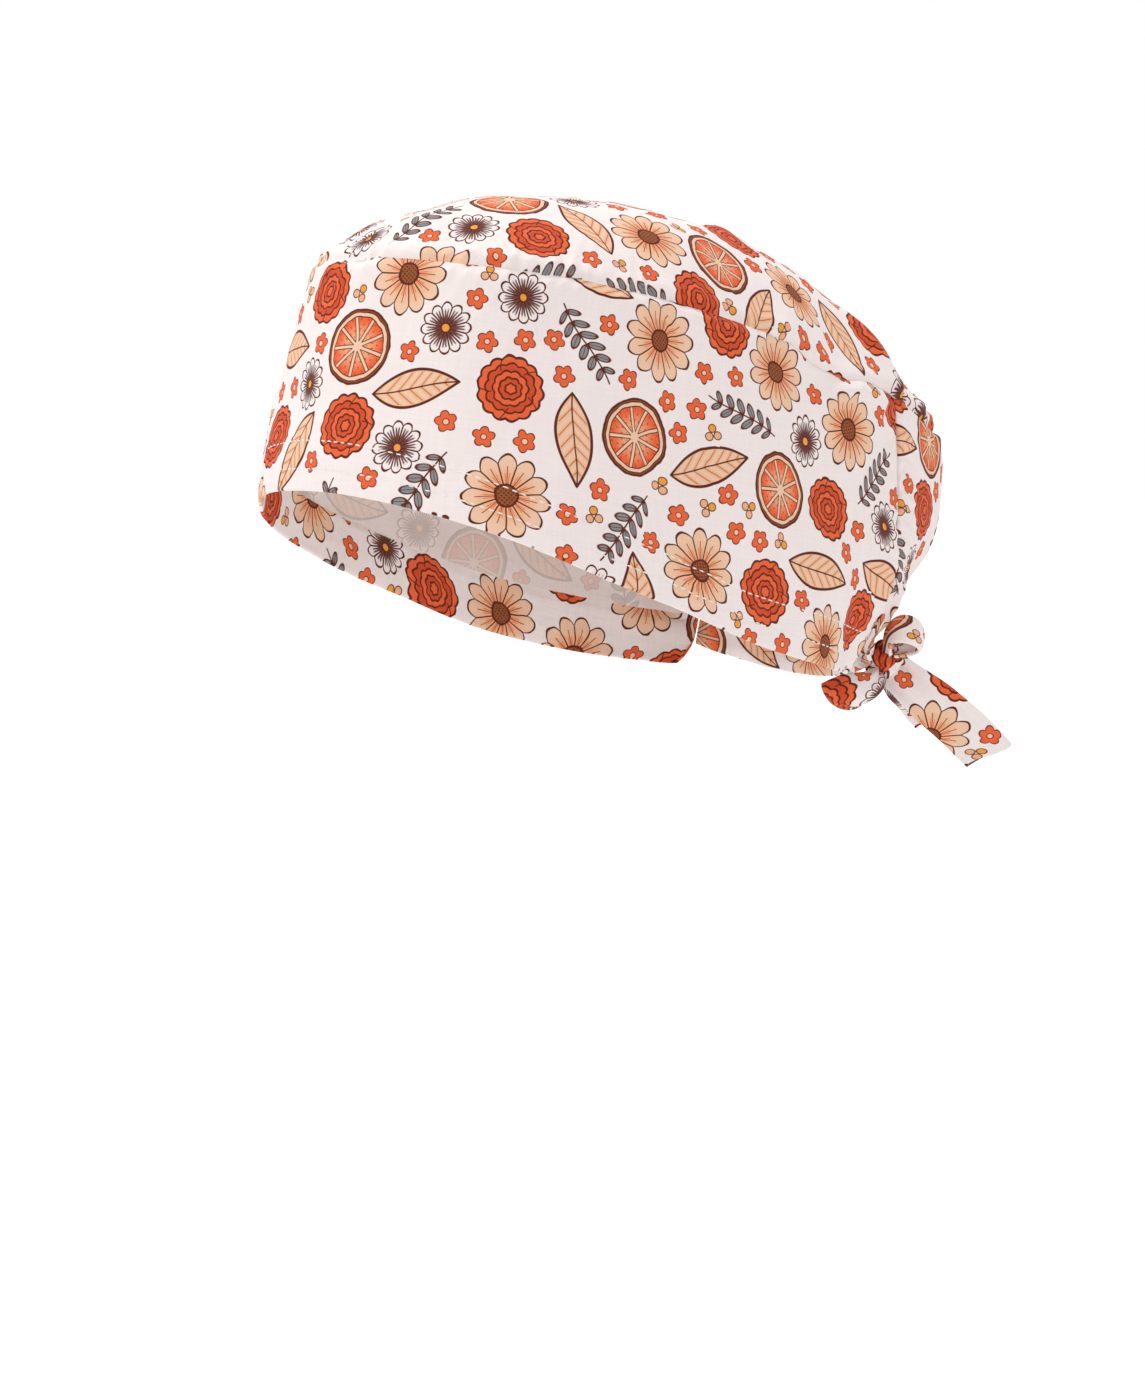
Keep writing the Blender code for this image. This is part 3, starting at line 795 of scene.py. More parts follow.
class Wire:
    """A socket that takes arithmetic, so that a pattern of shader nodes reads as a formula."""

    def __init__(self, tree: NodeTree, socket: NodeSocket) -> None:
        """Holds the tree and the output socket."""
        self.tree = tree
        self.socket = socket

    def math(self, operation: str, *others: "Wire | float", clamp: bool = False) -> "Wire":
        """Adds a Math node that works on this value and on others.

        Args:
            operation: What the node does.
            others: Its other values.
            clamp: Whether its output is kept between 0 and 1.

        Returns:
            The node's output.
        """
        node = self.tree.nodes.new("ShaderNodeMath")
        node.operation = operation
        node.use_clamp = clamp
        for slot, value in zip(node.inputs, (self, *others)):
            if isinstance(value, Wire):
                self.tree.links.new(value.socket, slot)
            else:
                slot.default_value = value
        return Wire(self.tree, node.outputs[0])

    def __add__(self, other: "Wire | float") -> "Wire":
        """Adds."""
        return self.math("ADD", other)

    def __sub__(self, other: "Wire | float") -> "Wire":
        """Subtracts."""
        return self.math("SUBTRACT", other)

    def __mul__(self, other: "Wire | float") -> "Wire":
        """Multiplies."""
        return self.math("MULTIPLY", other)

    def __truediv__(self, other: "Wire | float") -> "Wire":
        """Divides."""
        return self.math("DIVIDE", other)

    def power(self, other: float) -> "Wire":
        """Raises to a power."""
        return self.math("POWER", other)

    def size(self) -> "Wire":
        """Gives the value without its sign."""
        return self.math("ABSOLUTE")

    def cos(self) -> "Wire":
        """Gives the cosine."""
        return self.math("COSINE")

    def sin(self) -> "Wire":
        """Gives the sine."""
        return self.math("SINE")

    def phase(self) -> "Wire":
        """Gives the distance from the middle of the nearest whole step, from -0.5 to 0.5."""
        return self.math("FRACT") - 0.5

    def length(self, other: "Wire") -> "Wire":
        """Gives the length of the vector with this part and another one."""
        return (self * self + other * other).math("SQRT")

    def inside(self, soft: float = 0.14) -> "Wire":
        """Gives 1 where the value is under 0, with an edge of the given softness."""
        return self.math("MULTIPLY_ADD", -1 / soft, 0.5, clamp=True)

    def line(self, width: float) -> "Wire":
        """Gives 1 along the line where the value is 0, with the given width."""
        return (self.size() - width / 2).inside()


def new_group(name: str, inputs: dict[str, str], outputs: dict[str, str]) -> tuple:
    """Makes an empty node group.

    Args:
        name: The group's name.
        inputs: The name and the kind of each input.
        outputs: The name and the kind of each output.

    Returns:
        The group, its input node and its output node.
    """
    tree = bpy.data.node_groups.new(name, "ShaderNodeTree")
    for way, sockets in (("INPUT", inputs), ("OUTPUT", outputs)):
        for socket, kind in sockets.items():
            tree.interface.new_socket(name=socket, in_out=way, socket_type=kind)
    return tree, tree.nodes.new("NodeGroupInput"), tree.nodes.new("NodeGroupOutput")


def new_material(name: str, roughness: float) -> tuple:
    """Makes a material.

    Args:
        name: The material's name.
        roughness: How matt it is.

    Returns:
        The material, its node tree and its shader.
    """
    material = bpy.data.materials.new(name)
    material.use_nodes = True
    shader = material.node_tree.nodes["Principled BSDF"]
    shader.inputs["Roughness"].default_value = roughness
    return material, material.node_tree, shader


def split_vector(tree: NodeTree, vector: NodeSocket) -> list[Wire]:
    """Adds a node that splits a vector.

    Args:
        tree: The node tree.
        vector: The vector's socket.

    Returns:
        Its three parts.
    """
    split = tree.nodes.new("ShaderNodeSeparateXYZ")
    tree.links.new(vector, split.inputs[0])
    return [Wire(tree, part) for part in split.outputs]


def add_noise(
    tree: NodeTree, vector: NodeSocket, scale: float, detail: float = 2.0
) -> Wire:
    """Adds a noise texture.

    Args:
        tree: The node tree.
        vector: The socket of its coordinates.
        scale: Its scale.
        detail: Its detail.

    Returns:
        Its value.
    """
    noise = tree.nodes.new("ShaderNodeTexNoise")
    noise.inputs["Scale"].default_value = scale
    noise.inputs["Detail"].default_value = detail
    tree.links.new(vector, noise.inputs["Vector"])
    return Wire(tree, noise.outputs[0])


def mix_colours(
    tree: NodeTree,
    share: NodeSocket | float,
    under: NodeSocket | tuple,
    over: NodeSocket | tuple,
    blend: str = "MIX",
) -> NodeSocket:
    """Adds a node that mixes two colours.

    Args:
        tree: The node tree.
        share: How much of the upper colour shows.
        under: The lower colour, as a socket or as linear red, green and blue.
        over: The upper colour, likewise.
        blend: How the upper colour is laid on.

    Returns:
        The socket of the mixed colour.
    """
    mix = tree.nodes.new("ShaderNodeMix")
    mix.data_type = "RGBA"
    mix.blend_type = blend
    for slot, value in ((0, share), (6, under), (7, over)):
        if isinstance(value, NodeSocket):
            tree.links.new(value, mix.inputs[slot])
        else:
            mix.inputs[slot].default_value = (*value, 1) if isinstance(value, tuple) else value
    return mix.outputs[2]


@dataclass(frozen=True)
class PrintColours:
    """The inks of the print and the cloth's ground, as linear colours."""

    ground: tuple = (0.842, 0.755, 0.733)
    outline: tuple = (0.115, 0.022, 0.011)
    peach: tuple = (0.80, 0.41, 0.23)
    pale_peach: tuple = (0.82, 0.53, 0.37)
    orange: tuple = (0.78, 0.125, 0.042)
    deep_orange: tuple = (0.60, 0.075, 0.026)
    rust: tuple = (0.29, 0.085, 0.032)
    amber: tuple = (0.80, 0.33, 0.050)
    grey: tuple = (0.24, 0.245, 0.25)
    plum: tuple = (0.135, 0.050, 0.045)


@dataclass
class PrintGroup:
    """The node group that draws the motif of each face from its own coordinates, all lengths in mm."""

    colours: PrintColours = PrintColours()
    line: float = 0.78
    soft: float = 0.14

    def build(self) -> NodeTree:
        """Builds the group: Place and Kind in, Colour out.

        Returns:
            The group.
        """
        inputs = {"Place": "NodeSocketVector", "Kind": "NodeSocketFloat"}
        self.tree, source, target = new_group("tossed_print", inputs, {"Colour": "NodeSocketColor"})
        self.place = source.outputs["Place"]
        x, y, _ = split_vector(self.tree, self.place)
        kind = Wire(self.tree, source.outputs["Kind"])
        self.x, self.y = x * 1000, y * 1000
        self.r = self.x.length(self.y) + (add_noise(self.tree, self.place, 260.0, 1.0) - 0.5) * 1.1
        self.turn = self.y.math("ARCTAN2", self.x) / math.tau
        self.colour: NodeSocket | tuple = self.colours.ground
        for motif, draw in (
            (Motif.BLOSSOM, self.blossom),
            (Motif.ROSETTE, self.rosette),
            (Motif.SLICE, self.slice),
            (Motif.ASTER, self.aster),
            (Motif.LEAF, self.leaf),
            (Motif.SPRIG, self.sprig),
            (Motif.FLORET, self.floret),
            (Motif.BERRIES, self.berries),
        ):
            self.chosen = kind.math("COMPARE", float(motif.value[0]), 0.4)
            draw()
        self.tree.links.new(self.colour, target.inputs[0])
        return self.tree

    def paint(self, colour: tuple, mask: Wire) -> None:
        """Lays an ink over what is drawn so far, where the mask is 1 and the motif is the chosen one."""
        self.colour = mix_colours(self.tree, (mask * self.chosen).socket, self.colour, colour)

    def petals(self, count: int, offset: float = 0.0) -> Wire:
        """Gives the place across a petal, from -0.5 to 0.5, for a ring of petals."""
        return (self.turn * count + (offset + 8.0)).phase()

    def rib(self, petal: Wire, count: int) -> Wire:
        """Gives the distance from the middle line of a petal, for a ring of petals."""
        return petal.size() * (math.tau / count) * self.r

    def gap(self, petal: Wire, count: int) -> Wire:
        """Gives the distance from the line between two petals, for a ring of petals."""
        return (petal.size() * -1 + 0.5) * (math.tau / count) * self.r

    def disc(self, radius: float, soft: float = soft) -> Wire:
        """Gives 1 within a radius."""
        return (self.r - radius).inside(soft)

    def beyond(self, radius: float, soft: float = soft) -> Wire:
        """Gives 1 beyond a radius."""
        return (self.r * -1 + radius).inside(soft)

    def ring(self, radius: float, width: float) -> Wire:
        """Gives 1 along a circle."""
        return (self.r - radius).line(width)

    def span(self, half: float) -> Wire:
        """Gives 1 within half a length from the middle."""
        return (self.x.size() - half).inside()

    def blossom(self) -> None:
        """Draws a broad-petalled open flower, 28 mm wide."""
        ink, count, eye = self.colours, 11, 3.5
        petal = self.petals(count)
        edge = self.r - ((petal * petal) * -13 + 13.6)
        inside = edge.inside()
        self.paint(ink.pale_peach, inside)
        self.paint(ink.peach, inside * self.disc(8.0, 5.0))
        self.paint(ink.rust, (self.rib(petal, count) - 0.16).inside() * self.disc(9.6) * inside)
        vein = self.rib(self.petals(count * 3, 0.5), count * 3)
        self.paint(ink.orange, (vein - 0.13).inside() * self.disc(7.2) * inside)
        self.paint(ink.outline, (self.gap(petal, count) - 0.24).inside() * inside)
        self.paint(ink.outline, edge.line(self.line))
        self.paint(ink.rust, self.disc(eye))
        dots = (self.x * 4.2).cos() * (self.y * 4.2).cos()
        self.paint(ink.outline, (dots * -1 + 0.35).inside() * self.disc(3.2))
        self.paint(ink.outline, self.ring(eye, self.line))

    def rosette(self) -> None:
        """Draws a ruffled flower of nested scallops, 22 mm wide."""
        ink = self.colours
        rings = (
            (10.6, 7, 0.075, 0.0),
            (8.2, 6, 0.09, 1.3),
            (5.9, 5, 0.10, 2.9),
            (3.8, 4, 0.13, 0.7),
            (1.9, 3, 0.18, 2.0),
        )
        for k, (radius, count, depth, start) in enumerate(rings):
            wave = (self.turn * (math.tau * count) + start).cos().size() * depth + (1 - depth)
            edge = self.r - wave * radius
            self.paint(ink.orange if k % 2 == 0 else ink.deep_orange, edge.inside(0.9 if k else self.soft))
            self.paint(ink.outline, edge.line(self.line * (1.0 if k == 0 else 0.8)))
        crease = self.rib((self.turn * 5 + self.r * 0.045 + 8).phase(), 5)
        ringed = self.disc(10.2) * self.beyond(6.4)
        self.paint(ink.outline, (crease - 0.2).inside() * ringed)

    def slice(self) -> None:
        """Draws a round fruit slice with wedges, 25 mm wide."""
        ink, count, peel, rind, flesh, core = self.colours, 9, 12.3, 11.4, 9.9, 1.7
        self.paint(ink.rust, self.disc(peel))
        self.paint(ink.pale_peach, self.disc(rind))
        wedge = self.petals(count)
        gap = self.gap(wedge, count)
        body = (gap * -1 + 0.62).inside() * self.disc(flesh) * self.beyond(core)
        self.paint(ink.peach, body)
        self.paint(ink.orange, body * self.beyond(6.0, 5.0))
        drop = (wedge * 14).cos() * (self.r * 1.7).cos()
        self.paint(ink.deep_orange, body * (drop * -1 + 0.72).inside())
        self.paint(ink.outline, (gap - 0.62).line(0.34) * self.disc(flesh) * self.beyond(core))
        self.paint(ink.outline, self.ring(flesh, 0.4))
        self.paint(ink.outline, self.ring(rind, 0.45))
        self.paint(ink.outline, self.ring(peel, self.line))

    def aster(self) -> None:
        """Draws a small dark-eyed flower with scalloped petals, 17 mm wide."""
        ink, count = self.colours, 12
        petal = self.petals(count)
        edge = self.r - ((petal * petal) * -6.5 + 8.4)
        inside = edge.inside()
        self.paint(ink.ground, inside)
        vein = self.rib(self.petals(count * 3, 0.5), count * 3)
        self.paint(ink.plum, (vein - 0.24).inside() * self.disc(6.3, 0.8) * inside)
        self.paint(ink.plum, (self.rib(petal, count) - 0.5).inside(0.5) * self.disc(5.0, 2.4))
        self.paint(ink.plum, self.disc(3.3, 1.6))
        self.paint(ink.outline, (self.gap(petal, count) - 0.27).inside() * inside)
        self.paint(ink.outline, edge.line(self.line * 0.9))
        self.paint(ink.amber, self.disc(1.25))
        self.paint(ink.outline, self.ring(1.5, 0.45))

    def leaf(self) -> None:
        """Draws a broad veined leaf, 30 mm long."""
        ink, half = self.colours, 15.0
        bend = self.y - (self.x * 0.11).sin() * 1.3
        along = self.x / half
        edge = bend.size() - (along * along * -1 + 1.0) * ((along * -0.18) + 1.0) * 5.9
        inside = edge.inside() * self.span(half)
        self.paint(ink.pale_peach, inside)
        vein = ((self.x + bend.size() * -1.05) / 4.1 + 8).phase().size() * 4.1
        self.paint(ink.peach, (vein - 0.9).inside(1.0) * inside)
        self.paint(ink.rust, (vein - 0.15).inside() * inside * (edge + 0.9).inside())
        self.paint(ink.outline, bend.line(0.5) * self.span(15.4))
        self.paint(ink.outline, (edge * 0.8).line(self.line) * self.span(15.2))

    def sprig(self) -> None:
        """Draws a sprig of small grey leaves in pairs, 30 mm long."""
        ink, half, spacing = self.colours, 13.2, 4.4
        bend = self.y - (self.x * 0.13).sin() * 1.1
        step = (self.x / spacing + 8.0).phase() * spacing
        taper = (self.x * self.x) * -0.0021 + 1.0
        aside = bend.size() - taper * 2.45
        turned = (step * 0.64 + aside * 0.77, aside * 0.64 - step * 0.77)
        edge = (turned[0] / 2.75).length(turned[1] / 1.25) - taper
        inside = edge.inside(0.12) * self.span(half)
        self.paint(ink.grey, inside)
        self.paint(ink.outline, turned[1].line(0.22) * inside)
        self.paint(ink.outline, edge.line(0.34) * self.span(half))
        self.paint(ink.outline, bend.line(0.55) * self.span(15.0))

    def floret(self) -> None:
        """Draws a tiny five-petalled flower, 7 mm wide."""
        ink, eye = self.colours, 0.95
        wave = (self.turn * (math.tau * 2.5)).cos().size() * 0.34 + 0.66
        edge = self.r - wave * 3.6
        self.paint(ink.orange, edge.inside())
        self.paint(ink.outline, edge.line(0.42))
        self.paint(ink.pale_peach, self.disc(eye))
        self.paint(ink.outline, self.ring(eye, 0.3))

    def berries(self) -> None:
        """Draws three small round berries."""
        ink, apart, radius = self.colours, 1.75, 1.35
        for number, angle in enumerate((0.5, 2.6, 4.7)):
            reach = (self.x - apart * math.cos(angle)).length(self.y - apart * math.sin(angle))
            self.paint(ink.peach if number else ink.amber, (reach - radius).inside())
            self.paint(ink.outline, (reach - radius).line(0.36))


@dataclass
class WeaveGroup:
    """The node group of the cotton's plain weave, its slubs and its faint unevenness of tone."""

    pitch: float = 0.00052
    slubs: tuple = ((60.0, 1500.0), (1500.0, 60.0), (420.0, 420.0))
    thread_height: float = 0.22
    unevenness: float = 1.6
    tone_range: float = 0.10

    def build(self) -> NodeTree:
        """Builds the group: Cloth in, Height and Tone out.

        Returns:
            The group.
        """
        outputs = {"Height": "NodeSocketFloat", "Tone": "NodeSocketFloat"}
        tree, source, target = new_group("cotton_weave", {"Cloth": "NodeSocketVector"}, outputs)
        warp, weft, _ = split_vector(tree, source.outputs["Cloth"])
        turn = math.tau / self.pitch
        threads = (warp * turn).sin() * (weft * turn).sin()
        heights = []
        for stretch in self.slubs:
            join = tree.nodes.new("ShaderNodeCombineXYZ")
            tree.links.new((warp * stretch[0]).socket, join.inputs[0])
            tree.links.new((weft * stretch[1]).socket, join.inputs[1])
            heights.append(add_noise(tree, join.outputs[0], 1.0))
        height = threads * self.thread_height + heights[0] + heights[1] + heights[2] * self.unevenness
        tree.links.new(height.socket, target.inputs["Height"])
        tone = (heights[0] + heights[1] - 1.0) * self.tone_range + 1.0
        tree.links.new(tone.socket, target.inputs["Tone"])
        return tree


@dataclass(frozen=True)
class CottonFinish:
    """Printed plain-weave cotton: how matt it is, the height of its weave and how the wrong side fades."""

    name: str = "printed_cotton"
    roughness: float = 0.88
    sheen: float = 0.04
    sheen_roughness: float = 0.5
    specular: float = 0.12
    weave_depth: float = 0.00010
    weave_strength: float = 0.6
    fade: float = 0.72
    wrong_side: tuple = (0.80, 0.72, 0.68)

    def build(self, groups: dict[str, NodeTree]) -> Material:
        """Builds the material.

        Args:
            groups: The shared groups of the print and the weave.

        Returns:
            The material.
        """
        material, tree, shader = new_material(self.name, self.roughness)
        shader.inputs["Sheen Weight"].default_value = self.sheen
        shader.inputs["Sheen Roughness"].default_value = self.sheen_roughness
        shader.inputs["Specular IOR Level"].default_value = self.specular
        facts = {}
        for name in ("motif_place", "motif_kind", "wrong_side"):
            facts[name] = tree.nodes.new("ShaderNodeAttribute")
            facts[name].attribute_name = name
        cloth = tree.nodes.new("ShaderNodeUVMap")
        cloth.uv_map = CLOTH_MAP
        drawn, weave = (tree.nodes.new("ShaderNodeGroup") for _ in groups)
        drawn.node_tree, weave.node_tree = groups["print"], groups["weave"]
        tree.links.new(facts["motif_place"].outputs["Vector"], drawn.inputs["Place"])
        tree.links.new(facts["motif_kind"].outputs["Fac"], drawn.inputs["Kind"])
        tree.links.new(cloth.outputs[0], weave.inputs["Cloth"])
        amount = Wire(tree, facts["wrong_side"].outputs["Fac"]) * self.fade
        faded = mix_colours(tree, amount.socket, drawn.outputs[0], self.wrong_side)
        toned = mix_colours(tree, 1.0, faded, weave.outputs["Tone"], "MULTIPLY")
        tree.links.new(toned, shader.inputs["Base Color"])
        relief = tree.nodes.new("ShaderNodeBump")
        relief.inputs["Strength"].default_value = self.weave_strength
        relief.inputs["Distance"].default_value = self.weave_depth
        tree.links.new(weave.outputs["Height"], relief.inputs["Height"])
        tree.links.new(relief.outputs[0], shader.inputs["Normal"])
        return material


@dataclass(frozen=True)
class ThreadFinish:
    """White sewing thread, with a slight unevenness of tone."""

    name: str = "white_thread"
    light: tuple = (0.93, 0.91, 0.89)
    dark: tuple = (0.78, 0.75, 0.72)
    roughness: float = 0.6
    unevenness: float = 900.0

    def build(self) -> Material:
        """Builds the material.

        Returns:
            The material.
        """
        material, tree, shader = new_material(self.name, self.roughness)
        where = tree.nodes.new("ShaderNodeTexCoord")
        noise = add_noise(tree, where.outputs["Object"], self.unevenness)
        tree.links.new(mix_colours(tree, noise.socket, self.dark, self.light), shader.inputs["Base Color"])
        return material


@dataclass
class ClothMesh:
    """A mesh of cloth in the making: its points, its faces, and the cloth and bake places of every corner."""

    name: str
    points: np.ndarray
    faces: list
    cloth: np.ndarray
    bake: np.ndarray
    wrong_side: np.ndarray

    def build(self, layout: PrintLayout, material: Material) -> Object:
        """Makes the object, prints it and gives it its material.

        Args:
            layout: The layout of the print on this piece.
            material: The finish.

        Returns:
            The finished object.
        """
        mesh = bpy.data.meshes.new(self.name)
        mesh.from_pydata(self.points.tolist(), [], self.faces)
        mesh.shade_smooth()
        for name, data in ((CLOTH_MAP, self.cloth), (BAKE_MAP, self.bake)):
            layer = mesh.uv_layers.new(name=name)
            layer.uv.foreach_set("vector", data.astype(np.float32).ravel())
        mesh.uv_layers[CLOTH_MAP].active_render = True
        side = mesh.attributes.new("wrong_side", "FLOAT", "FACE")
        side.data.foreach_set("value", self.wrong_side.astype(np.float32))
        layout.dress(mesh, self.cloth)
        mesh.materials.append(material)
        LOG.info("%s: %d points, %d faces", self.name, len(self.points), len(self.faces))
        return place_object(self.name, mesh)


def shelf(flat: np.ndarray, low: tuple[float, float], high: tuple[float, float]) -> np.ndarray:
    """Fits flat places into a rectangle of the bake map, one axis each.

    Args:
        flat: The flat places.
        low: The rectangle's lowest corner.
        high: Its highest corner.

    Returns:
        The places in the bake map.
    """
    least, most = flat.reshape(-1, 2).min(axis=0), flat.reshape(-1, 2).max(axis=0)
    share = (flat - least) / np.maximum(most - least, 1e-9)
    return np.array(low) + share * (np.array(high) - np.array(low))


@dataclass
class WallPanel:
    """A sewn panel as a closed wall round the cap: two skins, rims, and perhaps a turned hem."""

    name: str
    layout: PrintLayout
    hem: float = 0.0
    wall: float = 0.0008
    hem_wall: float = 0.0013
    rim_rows: int = 3

    def assemble(self, outer: np.ndarray, flat: np.ndarray, material: Material) -> Object:
        """Closes the outer skin into a wall and makes the object.

        Args:
            outer: The grid of the outer skin; its second axis runs up from the foot.
            flat: The flat place of each point, as complex numbers.
            material: The finish.

        Returns:
            The finished object.
        """
        columns, rows = outer.shape[:2]
        normals = grid_normals(outer)
        height = arc(outer, 1)
        thick = np.where(height < self.hem, self.hem_wall, self.wall)[..., None]
        inner = outer - normals * thick
        middle, half = (outer[:, 0] + inner[:, 0]) / 2, (outer[:, 0] - inner[:, 0]) / 2
        down = unit(outer[:, 0] - outer[:, 1]) * np.linalg.norm(half, axis=1, keepdims=True)
        turns = np.pi * (1 - (np.arange(self.rim_rows) + 1) / (self.rim_rows + 1))
        rim = np.stack([middle + half * math.cos(t) + down * math.sin(t) for t in turns], axis=1)
        ring = np.concatenate([outer, inner[:, ::-1], rim], axis=1)
        count = ring.shape[1]
        run, rise = flat.real, flat.imag
        foot = np.tile(rise[:, :1], (1, self.rim_rows))
        across = np.concatenate([run, run[:, ::-1], np.tile(run[:, :1], (1, self.rim_rows))], axis=1)
        up = np.concatenate([rise, rise[:, ::-1], foot], axis=1)
        level = height.mean(axis=0)
        tall = np.concatenate([level, level[::-1], np.zeros(self.rim_rows)])
        segment = np.arange(count)
        wrong = (segment >= rows - 1) & (segment < 2 * rows)
        wrong &= np.maximum(tall, np.roll(tall, -1)) > self.hem + 1e-6
        turned = (segment >= rows) & ~wrong
        faces = grid_faces(columns, count, False, True)
        corner_columns, corner_rows = quad_places(columns - 1, count)
        corner_rows = corner_rows % count
        column, row = corner_columns[:, 0], corner_rows[:, 0]
        u = across[corner_columns, corner_rows]
        v = up[corner_columns, corner_rows]
        base = rise[:, 0][corner_columns]
        v = np.where(turned[row][:, None], 2 * base - v, v)
        cloth = np.stack([u, v], axis=-1)
        lane = np.where(row < rows - 1, 0, 1)
        half_way = (column < (columns - 1) // 2).astype(int)
        shares = corner_columns / (columns - 1) * 2 - np.where(half_way, 0, 1)[:, None]
        place = np.concatenate([level, level[::-1], np.full(self.rim_rows, -0.001)])
        ladder = (place[corner_rows] + 0.002) / (level[-1] + 0.004)
        low = np.array([[0.005, 0.345], [0.69, 0.845]])[lane, half_way]
        size = np.array([0.33, 0.145])[lane]
        bake = np.stack([0.005 + shares * 0.99, low[:, None] + ladder * size[:, None]], axis=-1)
        caps, cap_cloth, cap_bake = [], [], []
        for number, (i, order) in enumerate(((0, 1), (columns - 1, -1))):
            outer_numbers = i * count + np.arange(rows)
            inner_numbers = i * count + (2 * rows - 1 - np.arange(rows))
            for j in range(rows - 1):
                quad = [outer_numbers[j], outer_numbers[j + 1], inner_numbers[j + 1], inner_numbers[j]]
                caps.append([int(n) for n in quad[::order]])
                spot = [[run[i, j], rise[i, j]], [run[i, j + 1], rise[i, j + 1]]]
                four = [spot[0], spot[1], spot[1], spot[0]]
                cap_cloth += four[::order]
                x = 0.992 + 0.003 * number
                step = [0.005 + 0.66 * j / rows, 0.005 + 0.66 * (j + 1) / rows]
                cap_bake += [[x, step[0]], [x, step[1]], [x + 0.002, step[1]], [x + 0.002, step[0]]][::order]
            rim_numbers = [i * count + 2 * rows - 1 + k for k in range(self.rim_rows + 1)] + [i * count]
            caps.append(rim_numbers[::order])
            cap_cloth += [[run[i, 0], rise[i, 0]]] * len(rim_numbers)
            cap_bake += [[0.997 + 0.0005 * k * number, 0.99 + 0.001 * k] for k in range(len(rim_numbers))]
        return ClothMesh(
            name=self.name,
            points=ring.reshape(-1, 3),
            faces=faces.tolist() + caps,
            cloth=np.concatenate([cloth.reshape(-1, 2), np.array(cap_cloth)]),
            bake=np.concatenate([bake.reshape(-1, 2), np.array(cap_bake)]),
            wrong_side=np.concatenate([wrong[row].astype(float), np.zeros(len(caps))]),
        ).build(self.layout, material)


@dataclass
class SideBand:
    """The band round the front and the sides, with its stitched hem along the brim."""

    shape: CapShape
    columns: int = 420
    rows: int = 92
    hem: float = 0.0170
    seam_dip: float = 0.0013
    layout: PrintLayout = PrintLayout(seed=11)
    creases: tuple[Crease, ...] = (
        Crease(0.985, 0.16, 0.90, 0.40, 2.6, 1.1),
        Crease(0.990, 0.24, 0.93, 0.62, 2.4, 0.9),
        Crease(0.975, 0.10, 0.86, 0.22, 2.2, -0.7),
        Crease(0.960, 0.99, 0.90, 0.68, 2.6, 1.6),
        Crease(0.940, 0.98, 0.915, 0.80, 2.0, -1.4),
        Crease(0.985, 0.95, 0.945, 0.62, 2.4, 1.2),
        Crease(0.905, 0.99, 0.87, 0.72, 2.2, -0.9),
        Crease(0.860, 0.99, 0.845, 0.80, 2.0, 0.7),
        Crease(0.015, 0.16, 0.10, 0.40, 2.6, 1.1),
        Crease(0.010, 0.24, 0.07, 0.62, 2.4, 0.9),
        Crease(0.045, 0.99, 0.10, 0.70, 2.6, 1.0),
        Crease(0.120, 0.99, 0.14, 0.78, 2.2, -0.8),
    )

    def build(self, material: Material) -> Object:
        """Builds the band and keeps its outer skin for the stitching.

        Args:
            material: The finish.

        Returns:
            The band.
        """
        share = np.linspace(0, 1, self.rows)
        share = share + 0.05 * np.sin(2 * np.pi * share) / (2 * np.pi) * 2
        across, up = np.meshgrid(np.linspace(0, 1, self.columns), share, indexing="ij")
        base = settle(self.shape.band(across, up))
        run, rise = arc(base, 0), arc(base, 1)
        middle = self.rows // 2
        start = run[:, middle : middle + 1] + 1j * rise
        flat = spread_flat(base, False, start, (7, 8))
        self.outer = base + grid_normals(base) * self.relief(across, up, run, rise)[..., None]
        panel = WallPanel("side_band_cloth", self.layout, hem=self.hem)
        return panel.assemble(self.outer, flat, material)

    def relief(self, across: np.ndarray, up: np.ndarray, run: np.ndarray, rise: np.ndarray) -> np.ndarray:
        """Gives the height of the cloth over the plain wall.

        Args:
            across: Places across the band, as shares.
            up: Places up the band, as shares.
            run: Distances from the band's right end, in metres.
            rise: Distances from the brim, in metres.

        Returns:
            The height at each place, in metres.
        """
        span, tall = float(run[:, self.rows // 2].max()), rise[:, -1:]
        below = tall - rise
        ends = np.minimum(run, run[-1:] - run)
        total = Ripple(3, 0.040, 0.120, 0.00100).over(run, rise)
        for crease in self.creases:
            total = total + crease.over(across, up, span, float(tall.mean()))
        inside = smooth(below / 0.004) * smooth(ends / 0.003)
        total = total * inside
        total -= self.seam_dip * bump(below, 0.0016)
        total += 0.0004 * bump(below - 0.0045, 0.0030)
        total += Ripple(9, 0.012, 0.035, 0.00014).over(run, rise)
        puckers = Ripple(5, 0.009, 0.030, 0.00100, 0.0).pleats(run)
        total += puckers * np.exp(-below / 0.008) * smooth(below / 0.002)
        total -= self.seam_dip * bump(ends, 0.0016)
        puckers = Ripple(6, 0.009, 0.026, 0.00110, 0.0).pleats(rise)
        total += puckers * np.exp(-ends / 0.010) * smooth(ends / 0.003)
        total += 0.00030 * smooth((self.hem + 0.0008 - rise) / 0.0012)
        for row in STITCH_ROWS:
            total -= 0.00022 * bump(rise - row, 0.0008)
            total += Ripple(8, 0.005, 0.014, 0.00028, 0.0).pleats(run) * bump(rise - row, 0.0035)
        return total


